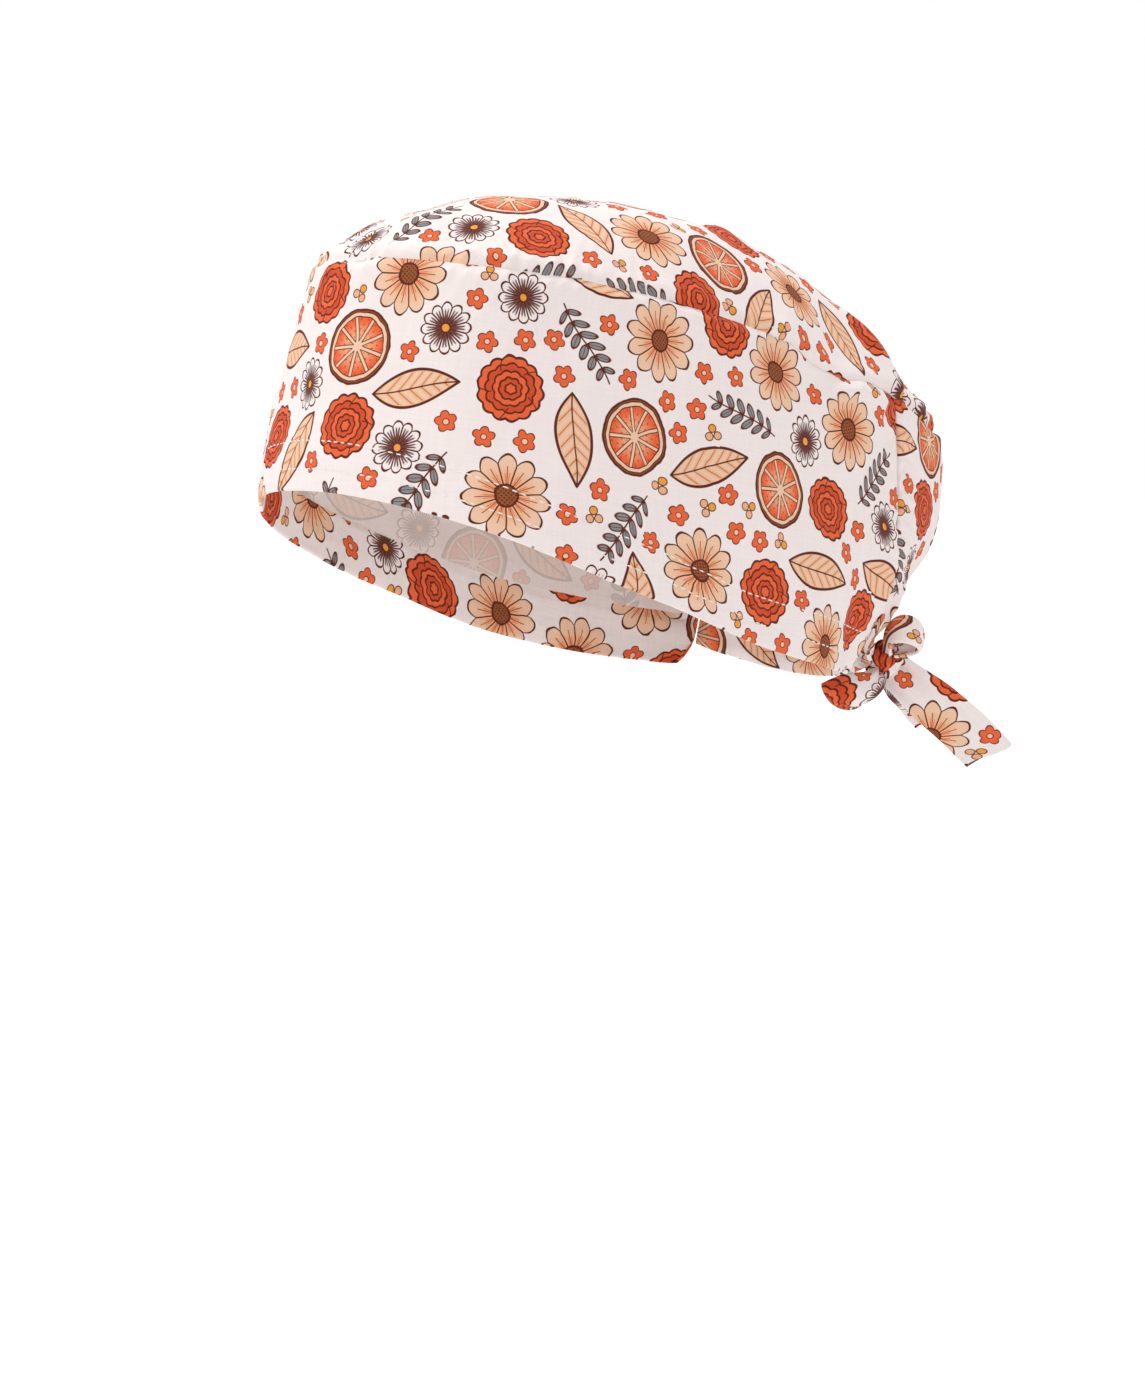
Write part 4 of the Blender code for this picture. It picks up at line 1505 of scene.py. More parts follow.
@dataclass
class BackPanel:
    """The puffed panel that closes the back, gathered at its foot."""

    shape: CapShape
    columns: int = 190
    rows: int = 100
    seam_dip: float = 0.0013
    knot_pull: Shift = Shift(31, 116, -8, 14, 0.0, 0.0, -6.5)
    layout: PrintLayout = PrintLayout(seed=23)
    creases: tuple[Crease, ...] = (
        Crease(0.06, 0.02, 0.20, 0.55, 3.0, 1.6),
        Crease(0.16, 0.0, 0.27, 0.40, 2.6, -1.4),
        Crease(0.30, 0.0, 0.36, 0.50, 3.0, 1.5),
        Crease(0.44, 0.0, 0.45, 0.38, 2.6, -1.4),
        Crease(0.58, 0.0, 0.55, 0.48, 3.0, 1.5),
        Crease(0.72, 0.0, 0.66, 0.40, 2.6, -1.4),
        Crease(0.86, 0.0, 0.77, 0.52, 3.0, 1.6),
        Crease(0.95, 0.02, 0.84, 0.60, 2.6, -1.2),
        Crease(0.22, 1.0, 0.30, 0.70, 2.6, 1.0),
        Crease(0.55, 1.0, 0.52, 0.72, 2.6, -1.0),
        Crease(0.80, 1.0, 0.72, 0.70, 2.6, 1.0),
    )

    def build(self, material: Material) -> Object:
        """Builds the panel.

        Args:
            material: The finish.

        Returns:
            The panel.
        """
        share = np.linspace(0, 1, self.rows)
        across, up = np.meshgrid(np.linspace(0, 1, self.columns), share, indexing="ij")
        base = settle(self.shape.panel(across, up))
        base = base + self.knot_pull.pull(base)
        run, rise = arc(base, 0), arc(base, 1)
        middle = self.rows // 2
        start = run[:, middle : middle + 1] + 1j * rise
        flat = spread_flat(base, False, start, (6, 8))
        span, tall = float(run[:, middle].max()), rise[:, -1:]
        ends, below = np.minimum(run, run[-1:] - run), tall - rise
        relief = Ripple(31, 0.030, 0.090, 0.0007).over(run, rise)
        for crease in self.creases:
            relief = relief + crease.over(across, up, span, float(tall.mean()))
        relief += Ripple(33, 0.006, 0.016, 0.0006, 0.0).pleats(across * span) * np.exp(-rise / 0.016)
        relief *= smooth(below / 0.004) * smooth(ends / 0.004)
        relief -= self.seam_dip * (bump(below, 0.0016) + bump(ends, 0.0016))
        puckers = Ripple(34, 0.008, 0.024, 0.00120, 0.0).pleats(rise)
        relief += puckers * np.exp(-ends / 0.012) * smooth(ends / 0.003)
        puckers = Ripple(35, 0.009, 0.026, 0.00110, 0.0).pleats(run)
        relief += puckers * np.exp(-below / 0.009) * smooth(below / 0.003)
        outer = base + self.ways(base, up, run) * relief[..., None]
        return WallPanel("back_panel_cloth", self.layout).assemble(outer, flat, material)

    def ways(self, base: np.ndarray, up: np.ndarray, run: np.ndarray) -> np.ndarray:
        """Gives the way that each point moves with the relief: its normal, but the band's way at the sides.

        Args:
            base: The panel's points.
            up: Their places up the panel, as shares.
            run: Their distances from the left edge.

        Returns:
            The ways.
        """
        ways = grid_normals(base)
        foot = self.shape.panel_foot
        for side, distance in ((1, run), (-1, run[-1:] - run)):
            share = bump(distance, 0.004)[..., None]
            ways = ways * (1 - share) + self.shape.band_end_way(side, foot + (1 - foot) * up) * share
        return unit(ways)


@dataclass
class Crown:
    """The domed oval top, eased into its seam with small puckers."""

    shape: CapShape
    sectors: int = 400
    rings: int = 92
    wall: float = 0.0008
    seam_dip: float = 0.0013
    crease_span: float = 0.085
    layout: PrintLayout = PrintLayout(seed=37)
    creases: tuple[Crease, ...] = (
        Crease(0.300, 0.0, 0.325, 0.20, 2.6, 1.3),
        Crease(0.335, 0.0, 0.350, 0.26, 2.4, -1.2),
        Crease(0.372, 0.0, 0.400, 0.34, 3.2, 2.8),
        Crease(0.385, 0.02, 0.430, 0.26, 2.2, -2.0),
        Crease(0.405, 0.0, 0.440, 0.30, 2.6, 2.0),
        Crease(0.425, 0.0, 0.445, 0.26, 2.8, 1.5),
        Crease(0.470, 0.0, 0.480, 0.20, 2.4, -1.1),
        Crease(0.540, 0.0, 0.530, 0.24, 2.6, 1.3),
        Crease(0.600, 0.0, 0.575, 0.26, 2.8, -1.3),
        Crease(0.640, 0.0, 0.615, 0.28, 2.8, 1.4),
        Crease(0.690, 0.0, 0.670, 0.20, 2.4, -0.9),
        Crease(0.110, 0.0, 0.125, 0.14, 2.2, 0.8),
        Crease(0.215, 0.0, 0.225, 0.13, 2.2, -0.8),
        Crease(0.880, 0.0, 0.870, 0.15, 2.2, 0.8),
    )

    def build(self, material: Material) -> Object:
        """Builds the crown as a closed shell.

        Args:
            material: The finish.

        Returns:
            The crown.
        """
        angles = np.arange(self.sectors) * math.tau / self.sectors
        reaches = 1 - np.linspace(0, 1, self.rings + 1)[:-1] ** 1.25
        angle, reach = np.meshgrid(angles, reaches, indexing="ij")
        base = settle(self.shape.crown(angle, reach))
        peak = settle(self.shape.crown(np.zeros(1), np.zeros(1)))[0]
        start = base[..., 0] + 1j * base[..., 1]
        flat = spread_flat(base, True, start, (10, 8))
        run = arc(np.concatenate([base, base[:1]]), 0)
        inward = arc(base, 1)
        relief = Ripple(41, 0.050, 0.130, 0.0011).over(base[..., 0], base[..., 1])
        relief += Ripple(42, 0.012, 0.038, 0.00020).over(base[..., 0], base[..., 1])
        for crease in self.creases:
            relief = relief + crease.over(angle / math.tau, 1 - reach, float(run[-1, 0]), self.crease_span)
        relief *= smooth(inward / 0.004)
        seam_run = np.tile(run[:-1, :1], (1, self.rings))
        puckers = Ripple(43, 0.008, 0.026, 0.00130, 0.0).pleats(seam_run)
        relief += puckers * np.exp(-inward / 0.009) * smooth(inward / 0.002)
        relief += 0.0005 * bump(inward - 0.005, 0.003)
        relief -= self.seam_dip * bump(inward, 0.0018)
        normals = grid_normals(base, closed=True)
        outer = base + normals * relief[..., None]
        inner = outer - grid_normals(outer, closed=True) * self.wall
        top = peak + np.array([0.0, 0.0, float(relief[:, -1].mean())])
        ring = np.concatenate([outer[:, ::-1], inner], axis=1)
        count = ring.shape[1]
        faces = grid_faces(self.sectors, count, True, False)[:, ::-1]
        points = np.concatenate([ring.reshape(-1, 3), [top, top - np.array([0.0, 0.0, self.wall])]])
        places = np.concatenate([flat[:, ::-1], flat], axis=1)
        places = np.stack([places.real, places.imag], axis=-1).reshape(-1, 2)
        poles = np.stack([flat[:, -1].mean().real, flat[:, -1].mean().imag])
        places = np.concatenate([places, [poles, poles]])
        fans = []
        for i in range(self.sectors):
            k = (i + 1) % self.sectors
            fans.append([i * count, k * count, len(points) - 2])
            fans.append([k * count + count - 1, i * count + count - 1, len(points) - 1])
        cells = faces.tolist() + fans
        numbers = np.concatenate([faces.ravel(), np.array(fans).ravel()])
        cloth = places[numbers]
        rows = np.tile(np.arange(count - 1), self.sectors)
        wrong = np.concatenate([(rows >= self.rings - 1).astype(float), np.tile([0.0, 1.0], self.sectors)])
        wide = float(np.ptp(places[:, 0])) / float(np.ptp(places[:, 1]))
        outside = shelf(places, (0.01, 0.01), (0.01 + 0.98 * wide, 0.99))
        inside = shelf(places, (0.60, 0.01), (0.995, 0.99))
        owner = np.repeat(wrong, np.concatenate([np.full(len(faces), 4), np.full(len(fans), 3)]))
        bake = np.where(owner[:, None] > 0.5, inside[numbers], outside[numbers])
        return ClothMesh("crown_cloth", points, cells, cloth, bake, wrong).build(self.layout, material)


@dataclass
class Strip:
    """A folded tie along a path of sections: a flat tube of cloth with soft edges and closed ends."""

    name: str
    seed: int
    thickness: float = 0.0018
    flat_width: float = 0.017
    print_gap: float = 0.9

    def skin_offsets(self, count: int, widths: np.ndarray, bend: np.ndarray, lean: float) -> tuple:
        """Gives where the two skins lie off the middle line.

        Args:
            count: How many sections the strip has.
            widths: Its width at each section.
            bend: How far each place of each section stands off the flat, along its thickness.
            lean: How far the last section's upper corner runs ahead of its lower one.

        Returns:
            The offsets along the width, those of both skins along the thickness, and those along the run.
        """
        swell = np.sqrt(np.clip(1 - np.abs(ACROSS) ** 5, 0, 1)) * (1 + 0.25 * (1 - np.abs(ACROSS)))
        share = np.linspace(0, 1, count)[:, None]
        tip = smooth((1 - share) / 0.02) ** 0.5 * 0.75 + 0.25
        rise = self.thickness / 2 * swell * tip
        slant = ACROSS - 0.35 * np.sign(ACROSS) * ACROSS ** 8
        shear = lean * smooth((share - 0.55) / 0.45) * slant / 2
        return ACROSS * widths[:, None] / 2, (rise + bend, -rise + bend), shear

    def assemble(
        self,
        centres: np.ndarray,
        ways: np.ndarray,
        faces: np.ndarray,
        widths: np.ndarray,
        bend: np.ndarray,
        material: Material,
        lean: float = 0.0,
    ) -> Object:
        """Builds the strip.

        Args:
            centres: Points along its middle line.
            ways: The way of its width at each point.
            faces: The way of its thickness at each point.
            widths: Its width at each point.
            bend: How far each place of each section stands off the flat, in metres, along its thickness.
            material: The finish.
            lean: How far the last section's upper corner runs ahead of its lower one.

        Returns:
            The finished object.
        """
        runs = unit(np.gradient(centres, axis=0))
        aside, rises, shear = self.skin_offsets(len(centres), widths, bend, lean)
        level = centres[:, None] + ways[:, None] * aside[..., None]
        ahead = runs[:, None] * shear[..., None]
        upper, lower = (level + faces[:, None] * rise[..., None] + ahead for rise in rises)
        ring = np.concatenate([upper, lower[:, -2:0:-1]], axis=1)
        columns, count = ring.shape[:2]
        cells = grid_faces(columns, count, False, True)
        half = ACROSS * self.flat_width / 2
        level = np.concatenate([half, self.flat_width - half[-2:0:-1], [1.5 * self.flat_width]])
        length = arc(centres, 0)
        corner_columns, corner_rows = quad_places(columns - 1, count)
        cloth = np.stack([length[corner_columns], level[corner_rows]], axis=-1)
        bake = shelf(cloth, (0.01, 0.01), (0.99, 0.94))
        caps = [list(range(count))[::-1], [(columns - 1) * count + k for k in range(count)]]
        first, last = (np.stack([np.full(count, x), level[:count]], axis=1) for x in (0.0, length[-1]))
        cap_cloth, cap_bake = np.stack([first[::-1], last]), end_discs(count).reshape(2, count, 2)
        if float((np.cross(ways[0], faces[0]) * runs[0]).sum()) > 0:
            cells, cloth, bake = cells[:, ::-1], cloth[:, ::-1], bake[:, ::-1]
            caps, cap_cloth, cap_bake = [cap[::-1] for cap in caps], cap_cloth[:, ::-1], cap_bake[:, ::-1]
        return ClothMesh(
            name=self.name,
            points=ring.reshape(-1, 3),
            faces=cells.tolist() + caps,
            cloth=np.concatenate([cloth.reshape(-1, 2), cap_cloth.reshape(-1, 2)]),
            bake=np.concatenate([bake.reshape(-1, 2), cap_bake.reshape(-1, 2)]),
            wrong_side=np.zeros(len(cells) + 2),
        ).build(PrintLayout(seed=self.seed, gap=self.print_gap), material)


@dataclass(frozen=True)
class LoopForm:
    """One loop of the bow; its ways are shares of out from the nape, up, and along it to the left."""

    way: tuple[float, float, float]
    opening: tuple[float, float, float]
    curl: tuple[float, float, float]
    end_width: float
    tuck: float
    seed: int


@dataclass(frozen=True)
class TailForm:
    """One free end of the bow; its way is in shares of out from the nape, up, and along it to the left."""

    way: tuple[float, float, float]
    length: float
    seed: int


@dataclass
class Ties:
    """The two ties: their gathered stretches at the nape, the knot, and the bow's loops and ends."""

    shape: CapShape
    tie_wall: float = 0.0022
    tie_width: float = 0.0170
    lead_width: float = 0.0150
    lead_sag: float = 0.0045
    lead_lap: float = 0.0026
    lead_stand: float = 0.0009
    lead_inset: float = 0.004
    lead_sections: tuple[int, int] = (40, 120)
    lead_seeds: tuple[int, int] = (61, 62)
    knot_radius: float = 0.0052
    knot_fullness: float = 1.20
    knot_grid: tuple[int, int] = (72, 40)
    knot_seed: int = 71
    bow_drop: float = 0.0018
    bow_slip: float = 0.0028
    loop_length: float = 0.0130
    loop_opening: float = 0.0120
    loop_sections: int = 96
    tail_slant: float = 0.0110
    tail_sections: int = 110
    knot_place: float = 0.15
    pinch_reach: float = 0.16
    lead_turn: float = 0.13
    lead_pinch: float = 0.50
    tie_swell: float = 0.25
    loop_root_width: float = 0.40
    tail_root_width: float = 0.74
    tail_seat: float = 0.85
    tail_opening: float = 2.2
    tail_bend: float = 0.05
    tail_twist: float = 25.0
    tail_width_way: tuple[float, float, float] = (0.65, 0.76, 0.0)
    upper_loop: LoopForm = LoopForm((0.30, 0.58, 0.75), (-0.92, 0.35, 0.15), (0, 0, 0), 0.76, 0.0012, 81)
    lower_loop: LoopForm = LoopForm((-0.55, -0.82, 0.40), (0, 0, 1), (-0.7, 0.2, 0), 0.78, 0.0034, 82)
    left_tail: TailForm = TailForm((0.76, -0.65, 0.05), 0.0465, 83)
    right_tail: TailForm = TailForm((0.73, -0.57, -0.46), 0.0320, 84)

    def edge_way(self, side: int) -> np.ndarray:
        """Gives the way up along the free foot of the band's rear edge."""
        foot = self.shape.panel_foot
        return unit(self.shape.band_edge(side, foot) - self.shape.band_edge(side, foot / 2))

    def lead_line(self, place: np.ndarray) -> tuple:
        """Gives the middle line of the ties along the nape.

        Args:
            place: Places along the back panel's foot, left to right, as shares.

        Returns:
            The centre, the way of the width, the outward way and the width at each place.
        """
        place = np.atleast_1d(np.asarray(place, dtype=float))
        left = (place <= self.knot_place)[:, None]
        foot, outward = self.shape.panel_foot_line(place)
        ease = smooth(np.abs(place - np.where(left[:, 0], 0.0, 1.0)) / self.lead_turn)[:, None]
        seam_foot = np.asarray(self.shape.panel_foot)
        edge = np.where(left, self.edge_way(1), self.edge_way(-1))
        edge_out = np.where(left, *(self.shape.band_end_way(side, seam_foot) for side in (1, -1)))
        way = unit(edge * (1 - ease) + UP * ease)
        outward = unit(edge_out * (1 - ease) + outward * ease)
        near = smooth(1 - np.abs(place - self.knot_place) / self.pinch_reach)
        width = self.lead_width * (1 - self.lead_pinch * near)
        drop = width / 2 + self.lead_sag * near
        return foot - way * drop[:, None], way, outward, width

    def knot_frame(self) -> tuple:
        """Gives where the knot is.

        Returns:
            Its centre, and its axes in one array: out from the nape, up, and along the nape to the left.
        """
        point, _, out, _ = (a[0] for a in self.lead_line(self.knot_place))
        standoff = self.tie_wall * (0.5 + self.tie_swell) + self.shape.seam_gap + self.knot_radius
        along = np.cross(out, UP)
        centre = point + out * standoff - UP * self.bow_drop - along * self.bow_slip
        return centre, np.array([out, UP, along])

    def lead(self, name: str, side: Side, material: Material) -> Object:
        """Builds the stretch of one tie from the band to the knot.

        Args:
            name: The piece's name.
            side: The side on which the tie is sewn to the band.
            material: The finish.

        Returns:
            The piece.
        """
        number = 0 if side is Side.LEFT else 1
        inset = side.value * self.lead_inset
        places = np.linspace(number + inset, self.knot_place - inset, self.lead_sections[number])
        centre, way, outward, width = self.lead_line(places)
        near = smooth(1 - np.abs(places - self.knot_place) / self.pinch_reach)[:, None]
        laid = settle(centre + way * self.lead_lap + outward * self.lead_stand)
        centre = centre + (laid - centre) * (1 - near)
        bend = 0.0007 * (0.25 + near) * np.cos(ACROSS * 7.5 + 0.6)
        bend = bend + Ripple(51, 0.012, 0.030, 0.0003).over(arc(centre, 0)[:, None], ACROSS[None, :] * 0.008)
        strip = Strip(name, self.lead_seeds[number])
        return strip.assemble(centre, way, outward, width, bend, material)

    def knot(self, material: Material) -> Object:
        """Builds the knot: a lump with the turns of the wound tie on it.

        Args:
            material: The finish.

        Returns:
            The knot.
        """
        centre, (out, up, along) = self.knot_frame()
        columns, rows = self.knot_grid
        turn = np.arange(columns)[:, None] * math.tau / columns
        tilt = np.linspace(-1, 1, rows)[None, :] * math.pi / 2 * 0.995
        axis = unit(0.55 * out + 0.60 * up - 0.55 * along)
        first = unit(np.cross(axis, up))
        second = np.cross(axis, first)
        way = (
            first * (np.cos(turn) * np.cos(tilt))[..., None]
            + second * (np.sin(turn) * np.cos(tilt))[..., None]
            + axis * (np.sin(tilt) + 0 * turn)[..., None]
        )
        wraps = np.abs(np.sin(tilt * 2.3 + 0.55 * np.sin(turn) + 0.4))
        creases = 0.07 * np.sin(turn * 4 + tilt * 3) + 0.05 * np.sin(turn * 9 - tilt * 6 + 0.8)
        radius = self.knot_fullness * self.knot_radius * (0.84 + 0.22 * wraps ** 0.6 + creases * np.cos(tilt))
        cells = grid_faces(columns, rows, True, False)
        fans = [[k * rows for k in range(columns)][::-1], [k * rows + rows - 1 for k in range(columns)]]
        corner_columns, corner_rows = quad_places(columns, rows - 1)
        share = np.stack([corner_columns / columns, corner_rows / (rows - 1)], axis=-1).reshape(-1, 2)
        scale = np.array([math.tau * self.knot_radius, math.pi * self.knot_radius])
        rim = np.arange(columns) / columns
        cap = np.concatenate([np.stack([rim[::-1], 0 * rim], 1), np.stack([rim, 0 * rim + 1], 1)])
        return ClothMesh(
            name="tie_knot_cloth",
            points=(centre + way * radius[..., None]).reshape(-1, 3),
            faces=cells.tolist() + fans,
            cloth=np.concatenate([share, cap]) * scale,
            bake=np.concatenate([share * [0.98, 0.92] + [0.01, 0.01], end_discs(columns)]),
            wrong_side=np.zeros(len(cells) + 2),
        ).build(PrintLayout(seed=self.knot_seed, gap=0.9), material)

    def seat(self, points: np.ndarray, way: np.ndarray) -> np.ndarray:
        """Gives the shift that brings the root of a piece of the bow to a seam gap from the knot.

        Args:
            points: Points on the piece's ends.
            way: The way of the shift.

        Returns:
            The shift.
        """
        reach = self.knot_radius + self.shape.seam_gap
        offset = points - self.knot_frame()[0]
        ahead = offset @ way
        room = reach * reach - (offset * offset).sum(axis=1) + ahead * ahead
        held = room > 0
        return way * float((np.sqrt(room[held]) - ahead[held]).max())

    def loop(self, name: str, form: LoopForm, material: Material) -> Object:
        """Builds one loop of the bow, which leaves the knot along its way and opens along its opening.

        Args:
            name: The piece's name.
            form: The loop's form.
            material: The finish.

        Returns:
            The loop.
        """
        centre, axes = self.knot_frame()
        way, curl, opening = unit(np.array(form.way) @ axes), form.curl @ axes, form.opening @ axes
        opening = unit(opening - way * float(opening @ way))
        turn = np.linspace(0, math.tau, self.loop_sections)
        reach = (1 - np.cos(turn)) / 2
        aside = (self.tie_wall + self.shape.seam_gap) / 2 * np.cos(turn / 2)
        aside = aside + self.loop_opening / 2 * np.sin(turn) * np.sin(turn / 2)
        centres = centre + (way + curl * reach[:, None]) * (self.loop_length * reach)[:, None]
        centres = centres + opening * aside[:, None]
        widths = self.tie_width * (self.loop_root_width + (form.end_width - self.loop_root_width) * reach)
        runs = unit(np.gradient(centres, axis=0))
        ways = np.tile(np.cross(way, opening), (len(turn), 1))
        ways = unit(ways - runs * dot(ways, runs))
        faces = np.cross(runs, ways)
        ends = [
            centres[k] + faces[k] * side * 0.0016 + ways[k] * widths[k] * edge / 2
            for k in (0, -1)
            for side in (-1, 1)
            for edge in (-1, 0, 1)
        ]
        centres = centres + self.seat(np.array(ends), way)
        reach = reach[:, None]
        bend = 0.0011 * (1 - reach) ** 2 * np.cos(ACROSS * 6.5 + 0.8)
        bend = bend + form.tuck * reach * (ACROSS ** 2 - 0.4)
        ripple = Ripple(form.seed, 0.010, 0.024, 0.00025)
        bend = bend + ripple.over(arc(centres, 0)[:, None], ACROSS[None, :] * 0.006)
        return Strip(name, form.seed).assemble(centres, ways, faces, widths, bend, material)

    def tail(self, name: str, form: TailForm, material: Material) -> Object:
        """Builds one free end of the bow, cut at a slant.

        Args:
            name: The piece's name.
            form: The tail's form.
            material: The finish.

        Returns:
            The tail.
        """
        centre, axes = self.knot_frame()
        way, width_way = unit(np.array(form.way) @ axes), unit(np.array(self.tail_width_way) @ axes)
        face = np.cross(way, width_way)
        share = np.linspace(0, 1, self.tail_sections)[:, None]
        bow = np.sin(np.pi * share)
        twist = math.radians(self.tail_twist) * bow
        centres = centre + way * form.length * share + face * self.tail_bend * form.length * bow
        ways = width_way * np.cos(twist) + face * np.sin(twist)
        opened = smooth(self.tail_opening * share[:, 0])
        widths = self.tie_width * (self.tail_root_width + (1 - self.tail_root_width) * opened)
        runs = unit(np.gradient(centres, axis=0))
        ways = unit(ways - runs * dot(ways, runs))
        faces = np.cross(runs, ways)
        centres = centres + way * (self.knot_radius * self.tail_seat)
        bend = 0.0022 * (1 - smooth(share / 0.6)) ** 1.3 * np.cos(ACROSS * 6.2 + 0.7)
        bend = bend + 0.0016 * bump(ACROSS - 0.55 + 0.5 * share, 0.20) * (1 - 0.5 * share)
        bend = bend - 0.0020 * (ACROSS ** 2 - 0.3) * smooth(share / 0.5)
        ripple = Ripple(form.seed, 0.016, 0.040, 0.0004)
        bend = bend + ripple.over(share * form.length, ACROSS[None, :] * 0.008)
        strip = Strip(name, form.seed)
        return strip.assemble(centres, ways, faces, widths, bend, material, lean=self.tail_slant)


@dataclass
class HemStitching:
    """The two rows of white topstitching along the hem."""

    pitch: float = 0.0031
    length: float = 0.0022
    width: float = 0.00042
    height: float = 0.00022

    def build(self, outer: np.ndarray, material: Material) -> Object:
        """Builds every stitch as a small spindle that lies on the band's outer skin.

        Args:
            outer: The grid of the band's outer skin.
            material: The thread's finish.

        Returns:
            The finished object.
        """
        rise = arc(outer, 1)
        normals = grid_normals(outer)
        points, faces = [], []
        for row in STITCH_ROWS:
            line = np.array([values_at(row, *column) for column in zip(rise, outer)])
            out = unit(np.array([values_at(row, *column) for column in zip(rise, normals)]))
            run = arc(line, 0)
            for start in np.arange(0.003, run[-1] - 0.004, self.pitch):
                spots = np.linspace(start, start + self.length, 4)
                spine, lift = values_at(spots, run, line), unit(values_at(spots, run, out))
                side = unit(np.cross(lift, np.gradient(spine, axis=0)))
                first = len(points)
                for k in range(4):
                    fat = 1.0 if k in (1, 2) else 0.45
                    base = spine[k] - lift[k] * self.height * (0.2 if fat == 1.0 else 0.7)
                    for a in range(4):
                        turn = a * math.pi / 2 + math.pi / 4
                        wide = side[k] * math.cos(turn) * self.width / 1.4 * fat
                        points.append(base + wide + lift[k] * math.sin(turn) * self.height * 1.4 * fat)
                for k in range(3):
                    for a in range(4):
                        b = (a + 1) % 4
                        near, far = first + 4 * k, first + 4 * k + 4
                        faces.append([near + a, near + b, far + b, far + a])
                faces.append([first + 3, first + 2, first + 1, first])
                faces.append([first + 12, first + 13, first + 14, first + 15])
        mesh = bpy.data.meshes.new("hem_stitching")
        mesh.from_pydata(np.array(points).tolist(), [], faces)
        mesh.shade_smooth()
        mesh.materials.append(material)
        LOG.info("hem_stitching: %d faces", len(faces))
        return place_object("hem_stitching", mesh)


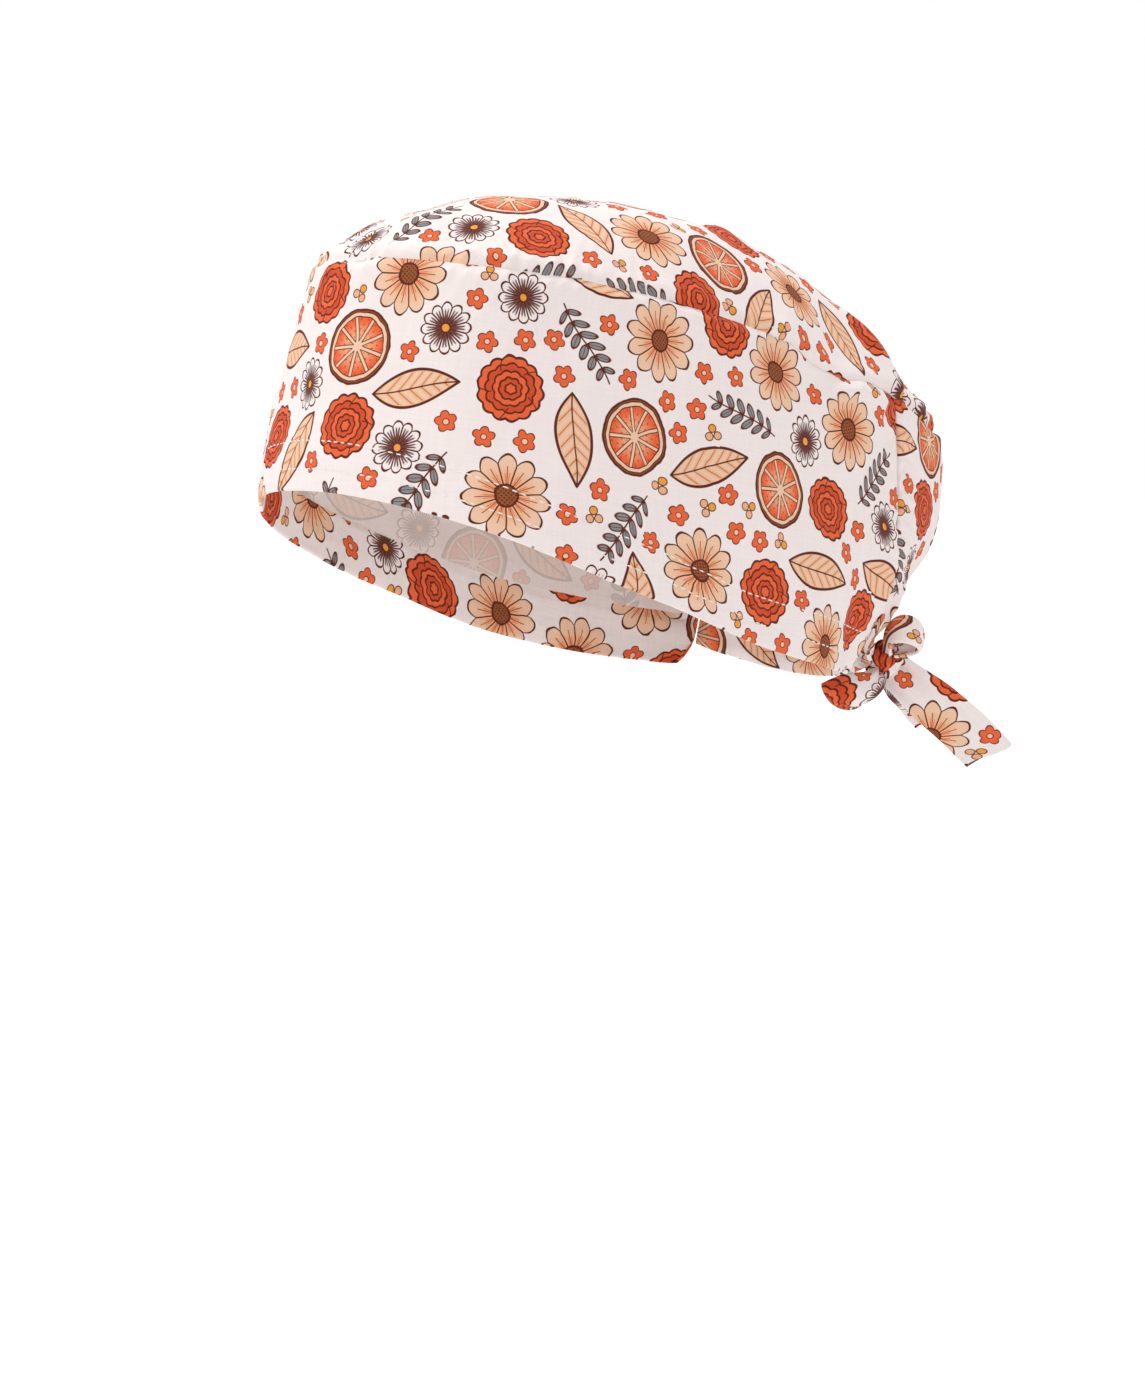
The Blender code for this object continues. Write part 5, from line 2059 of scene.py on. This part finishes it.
@dataclass
class Studio:
    """The plain pale floor, the soft lights and the camera at the photograph's viewing angle."""

    floor_height: float = -0.200
    floor_glow: float = 0.30
    distance: float = 1.5470
    azimuth: float = 55.0
    pitch: float = 2.974
    eye_height: float = 0.0550
    aside: float = 0.0092
    lens: float = 121.6
    sky_level: float = 0.51
    sky_rise: float = 0.68

    def build(self) -> None:
        """Builds the floor, the world, the lights and the camera."""
        self.build_floor()
        self.build_world()
        for name, side, ahead, up, size, power in (
            ("key_light", -1.4, 0.5, 1.00, 0.5, 6.5),
            ("top_light", -0.2, -0.4, 1.5, 0.5, 6.5),
            ("fill_light", 1.5, 1.0, 0.5, 0.8, 1.5),
        ):
            self.add_light(name, (side, ahead, up), size, power)
        self.build_camera()

    def build_floor(self) -> None:
        """Adds a large pale floor, which isn't part of the object."""
        bpy.ops.object.select_all(action="DESELECT")
        bpy.ops.mesh.primitive_plane_add(size=30, location=(0, 0, self.floor_height))
        floor = bpy.context.object
        floor.name = "studio_floor"
        material, tree, shader = new_material("pale_floor", 0.9)
        shader.inputs["Base Color"].default_value = (0.97, 0.97, 0.97, 1)
        ray = tree.nodes.new("ShaderNodeLightPath")
        seen = Wire(tree, ray.outputs["Is Camera Ray"]) * self.floor_glow
        shader.inputs["Emission Color"].default_value = (1, 1, 1, 1)
        tree.links.new(seen.socket, shader.inputs["Emission Strength"])
        floor.data.materials.append(material)

    def build_world(self) -> None:
        """Lights the whole scene evenly from a white surround."""
        world = bpy.data.worlds.new("studio_surround")
        world.use_nodes = True
        tree = world.node_tree
        back = tree.nodes["Background"]
        back.inputs[0].default_value = (1.0, 1.0, 1.0, 1)
        where = tree.nodes.new("ShaderNodeTexCoord")
        up = split_vector(tree, where.outputs["Generated"])[2]
        ray = tree.nodes.new("ShaderNodeLightPath")
        seen = Wire(tree, ray.outputs["Is Camera Ray"])
        rise = up.math("MAXIMUM", 0.0)
        glow = rise * self.sky_rise + self.sky_level
        strength = glow + seen * (glow * -1 + 1.0)
        tree.links.new(strength.socket, back.inputs[1])
        bpy.context.scene.world = world
        bpy.context.scene.view_settings.view_transform = "Standard"

    def add_light(self, name: str, place: tuple[float, float, float], size: float, power: float) -> None:
        """Adds a square soft light, aimed at the cap.

        Args:
            name: The light's name.
            place: Its place to the camera's right, towards the camera and up.
            size: The length of its side.
            power: Its power in watts.
        """
        turn = math.radians(self.azimuth)
        right = np.array([math.cos(turn), math.sin(turn), 0.0])
        ahead = np.array([math.sin(turn), -math.cos(turn), 0.0])
        spot = right * place[0] + ahead * place[1] + np.array([0.0, 0.0, place[2]])
        light = bpy.data.lights.new(name, "AREA")
        light.size = size
        light.energy = power
        obj = place_object(name, light)
        obj.location = spot
        aim = unit(spot - np.array([0.0, 0.02, 0.06]))
        heading = math.atan2(float(aim[1]), float(aim[0])) + math.pi / 2
        obj.rotation_euler = (math.acos(float(aim[2])), 0.0, heading)

    def build_camera(self) -> None:
        """Adds the camera."""
        turn = math.radians(self.azimuth)
        camera = bpy.data.cameras.new("camera")
        camera.lens = self.lens
        camera.sensor_width = 36.0
        obj = place_object("camera", camera)
        back, right = np.array([math.sin(turn), -math.cos(turn)]), np.array([math.cos(turn), math.sin(turn)])
        obj.location = (*(back * self.distance + right * self.aside), self.eye_height)
        obj.rotation_euler = (math.radians(90 - self.pitch), 0.0, turn)
        bpy.context.scene.camera = obj


def attach(obj: Object, node: str) -> Object:
    """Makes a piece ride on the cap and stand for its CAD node.

    Args:
        obj: The piece.
        node: The CAD node that it replaces.

    Returns:
        The piece.
    """
    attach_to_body(obj, "root")
    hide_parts(node)
    return obj


def main() -> None:
    """Builds the cloth, the ties, the stitching and the studio."""
    logging.basicConfig(level=logging.INFO)
    shape = CapShape()
    groups = {"print": PrintGroup().build(), "weave": WeaveGroup().build()}
    cotton = CottonFinish().build(groups)
    tie_cotton = CottonFinish(name="tie_cotton").build(groups)
    thread = ThreadFinish().build()
    band = SideBand(shape)
    band_cloth = attach(band.build(cotton), "side_band")
    crown_cloth = attach(Crown(shape).build(cotton), "crown")
    panel_cloth = attach(BackPanel(shape).build(cotton), "back_panel")
    stitching = HemStitching().build(band.outer, thread)
    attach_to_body(stitching, "root")
    ties = Ties(shape)
    left_lead = attach(ties.lead("left_lead_cloth", Side.LEFT, tie_cotton), "left_tie_lead")
    right_lead = attach(ties.lead("right_lead_cloth", Side.RIGHT, tie_cotton), "right_tie_lead")
    knot = attach(ties.knot(tie_cotton), "tie_knot")
    upper = ties.loop("upper_loop_cloth", ties.upper_loop, tie_cotton)
    attach(upper, "upper_bow_loop")
    lower = ties.loop("lower_loop_cloth", ties.lower_loop, tie_cotton)
    attach(lower, "lower_bow_loop")
    left_tail = ties.tail("left_tail_cloth", ties.left_tail, tie_cotton)
    attach(left_tail, "left_tie_tail")
    right_tail = ties.tail("right_tail_cloth", ties.right_tail, tie_cotton)
    attach(right_tail, "right_tie_tail")
    Studio().build()


if __name__ == "__main__":
    main()
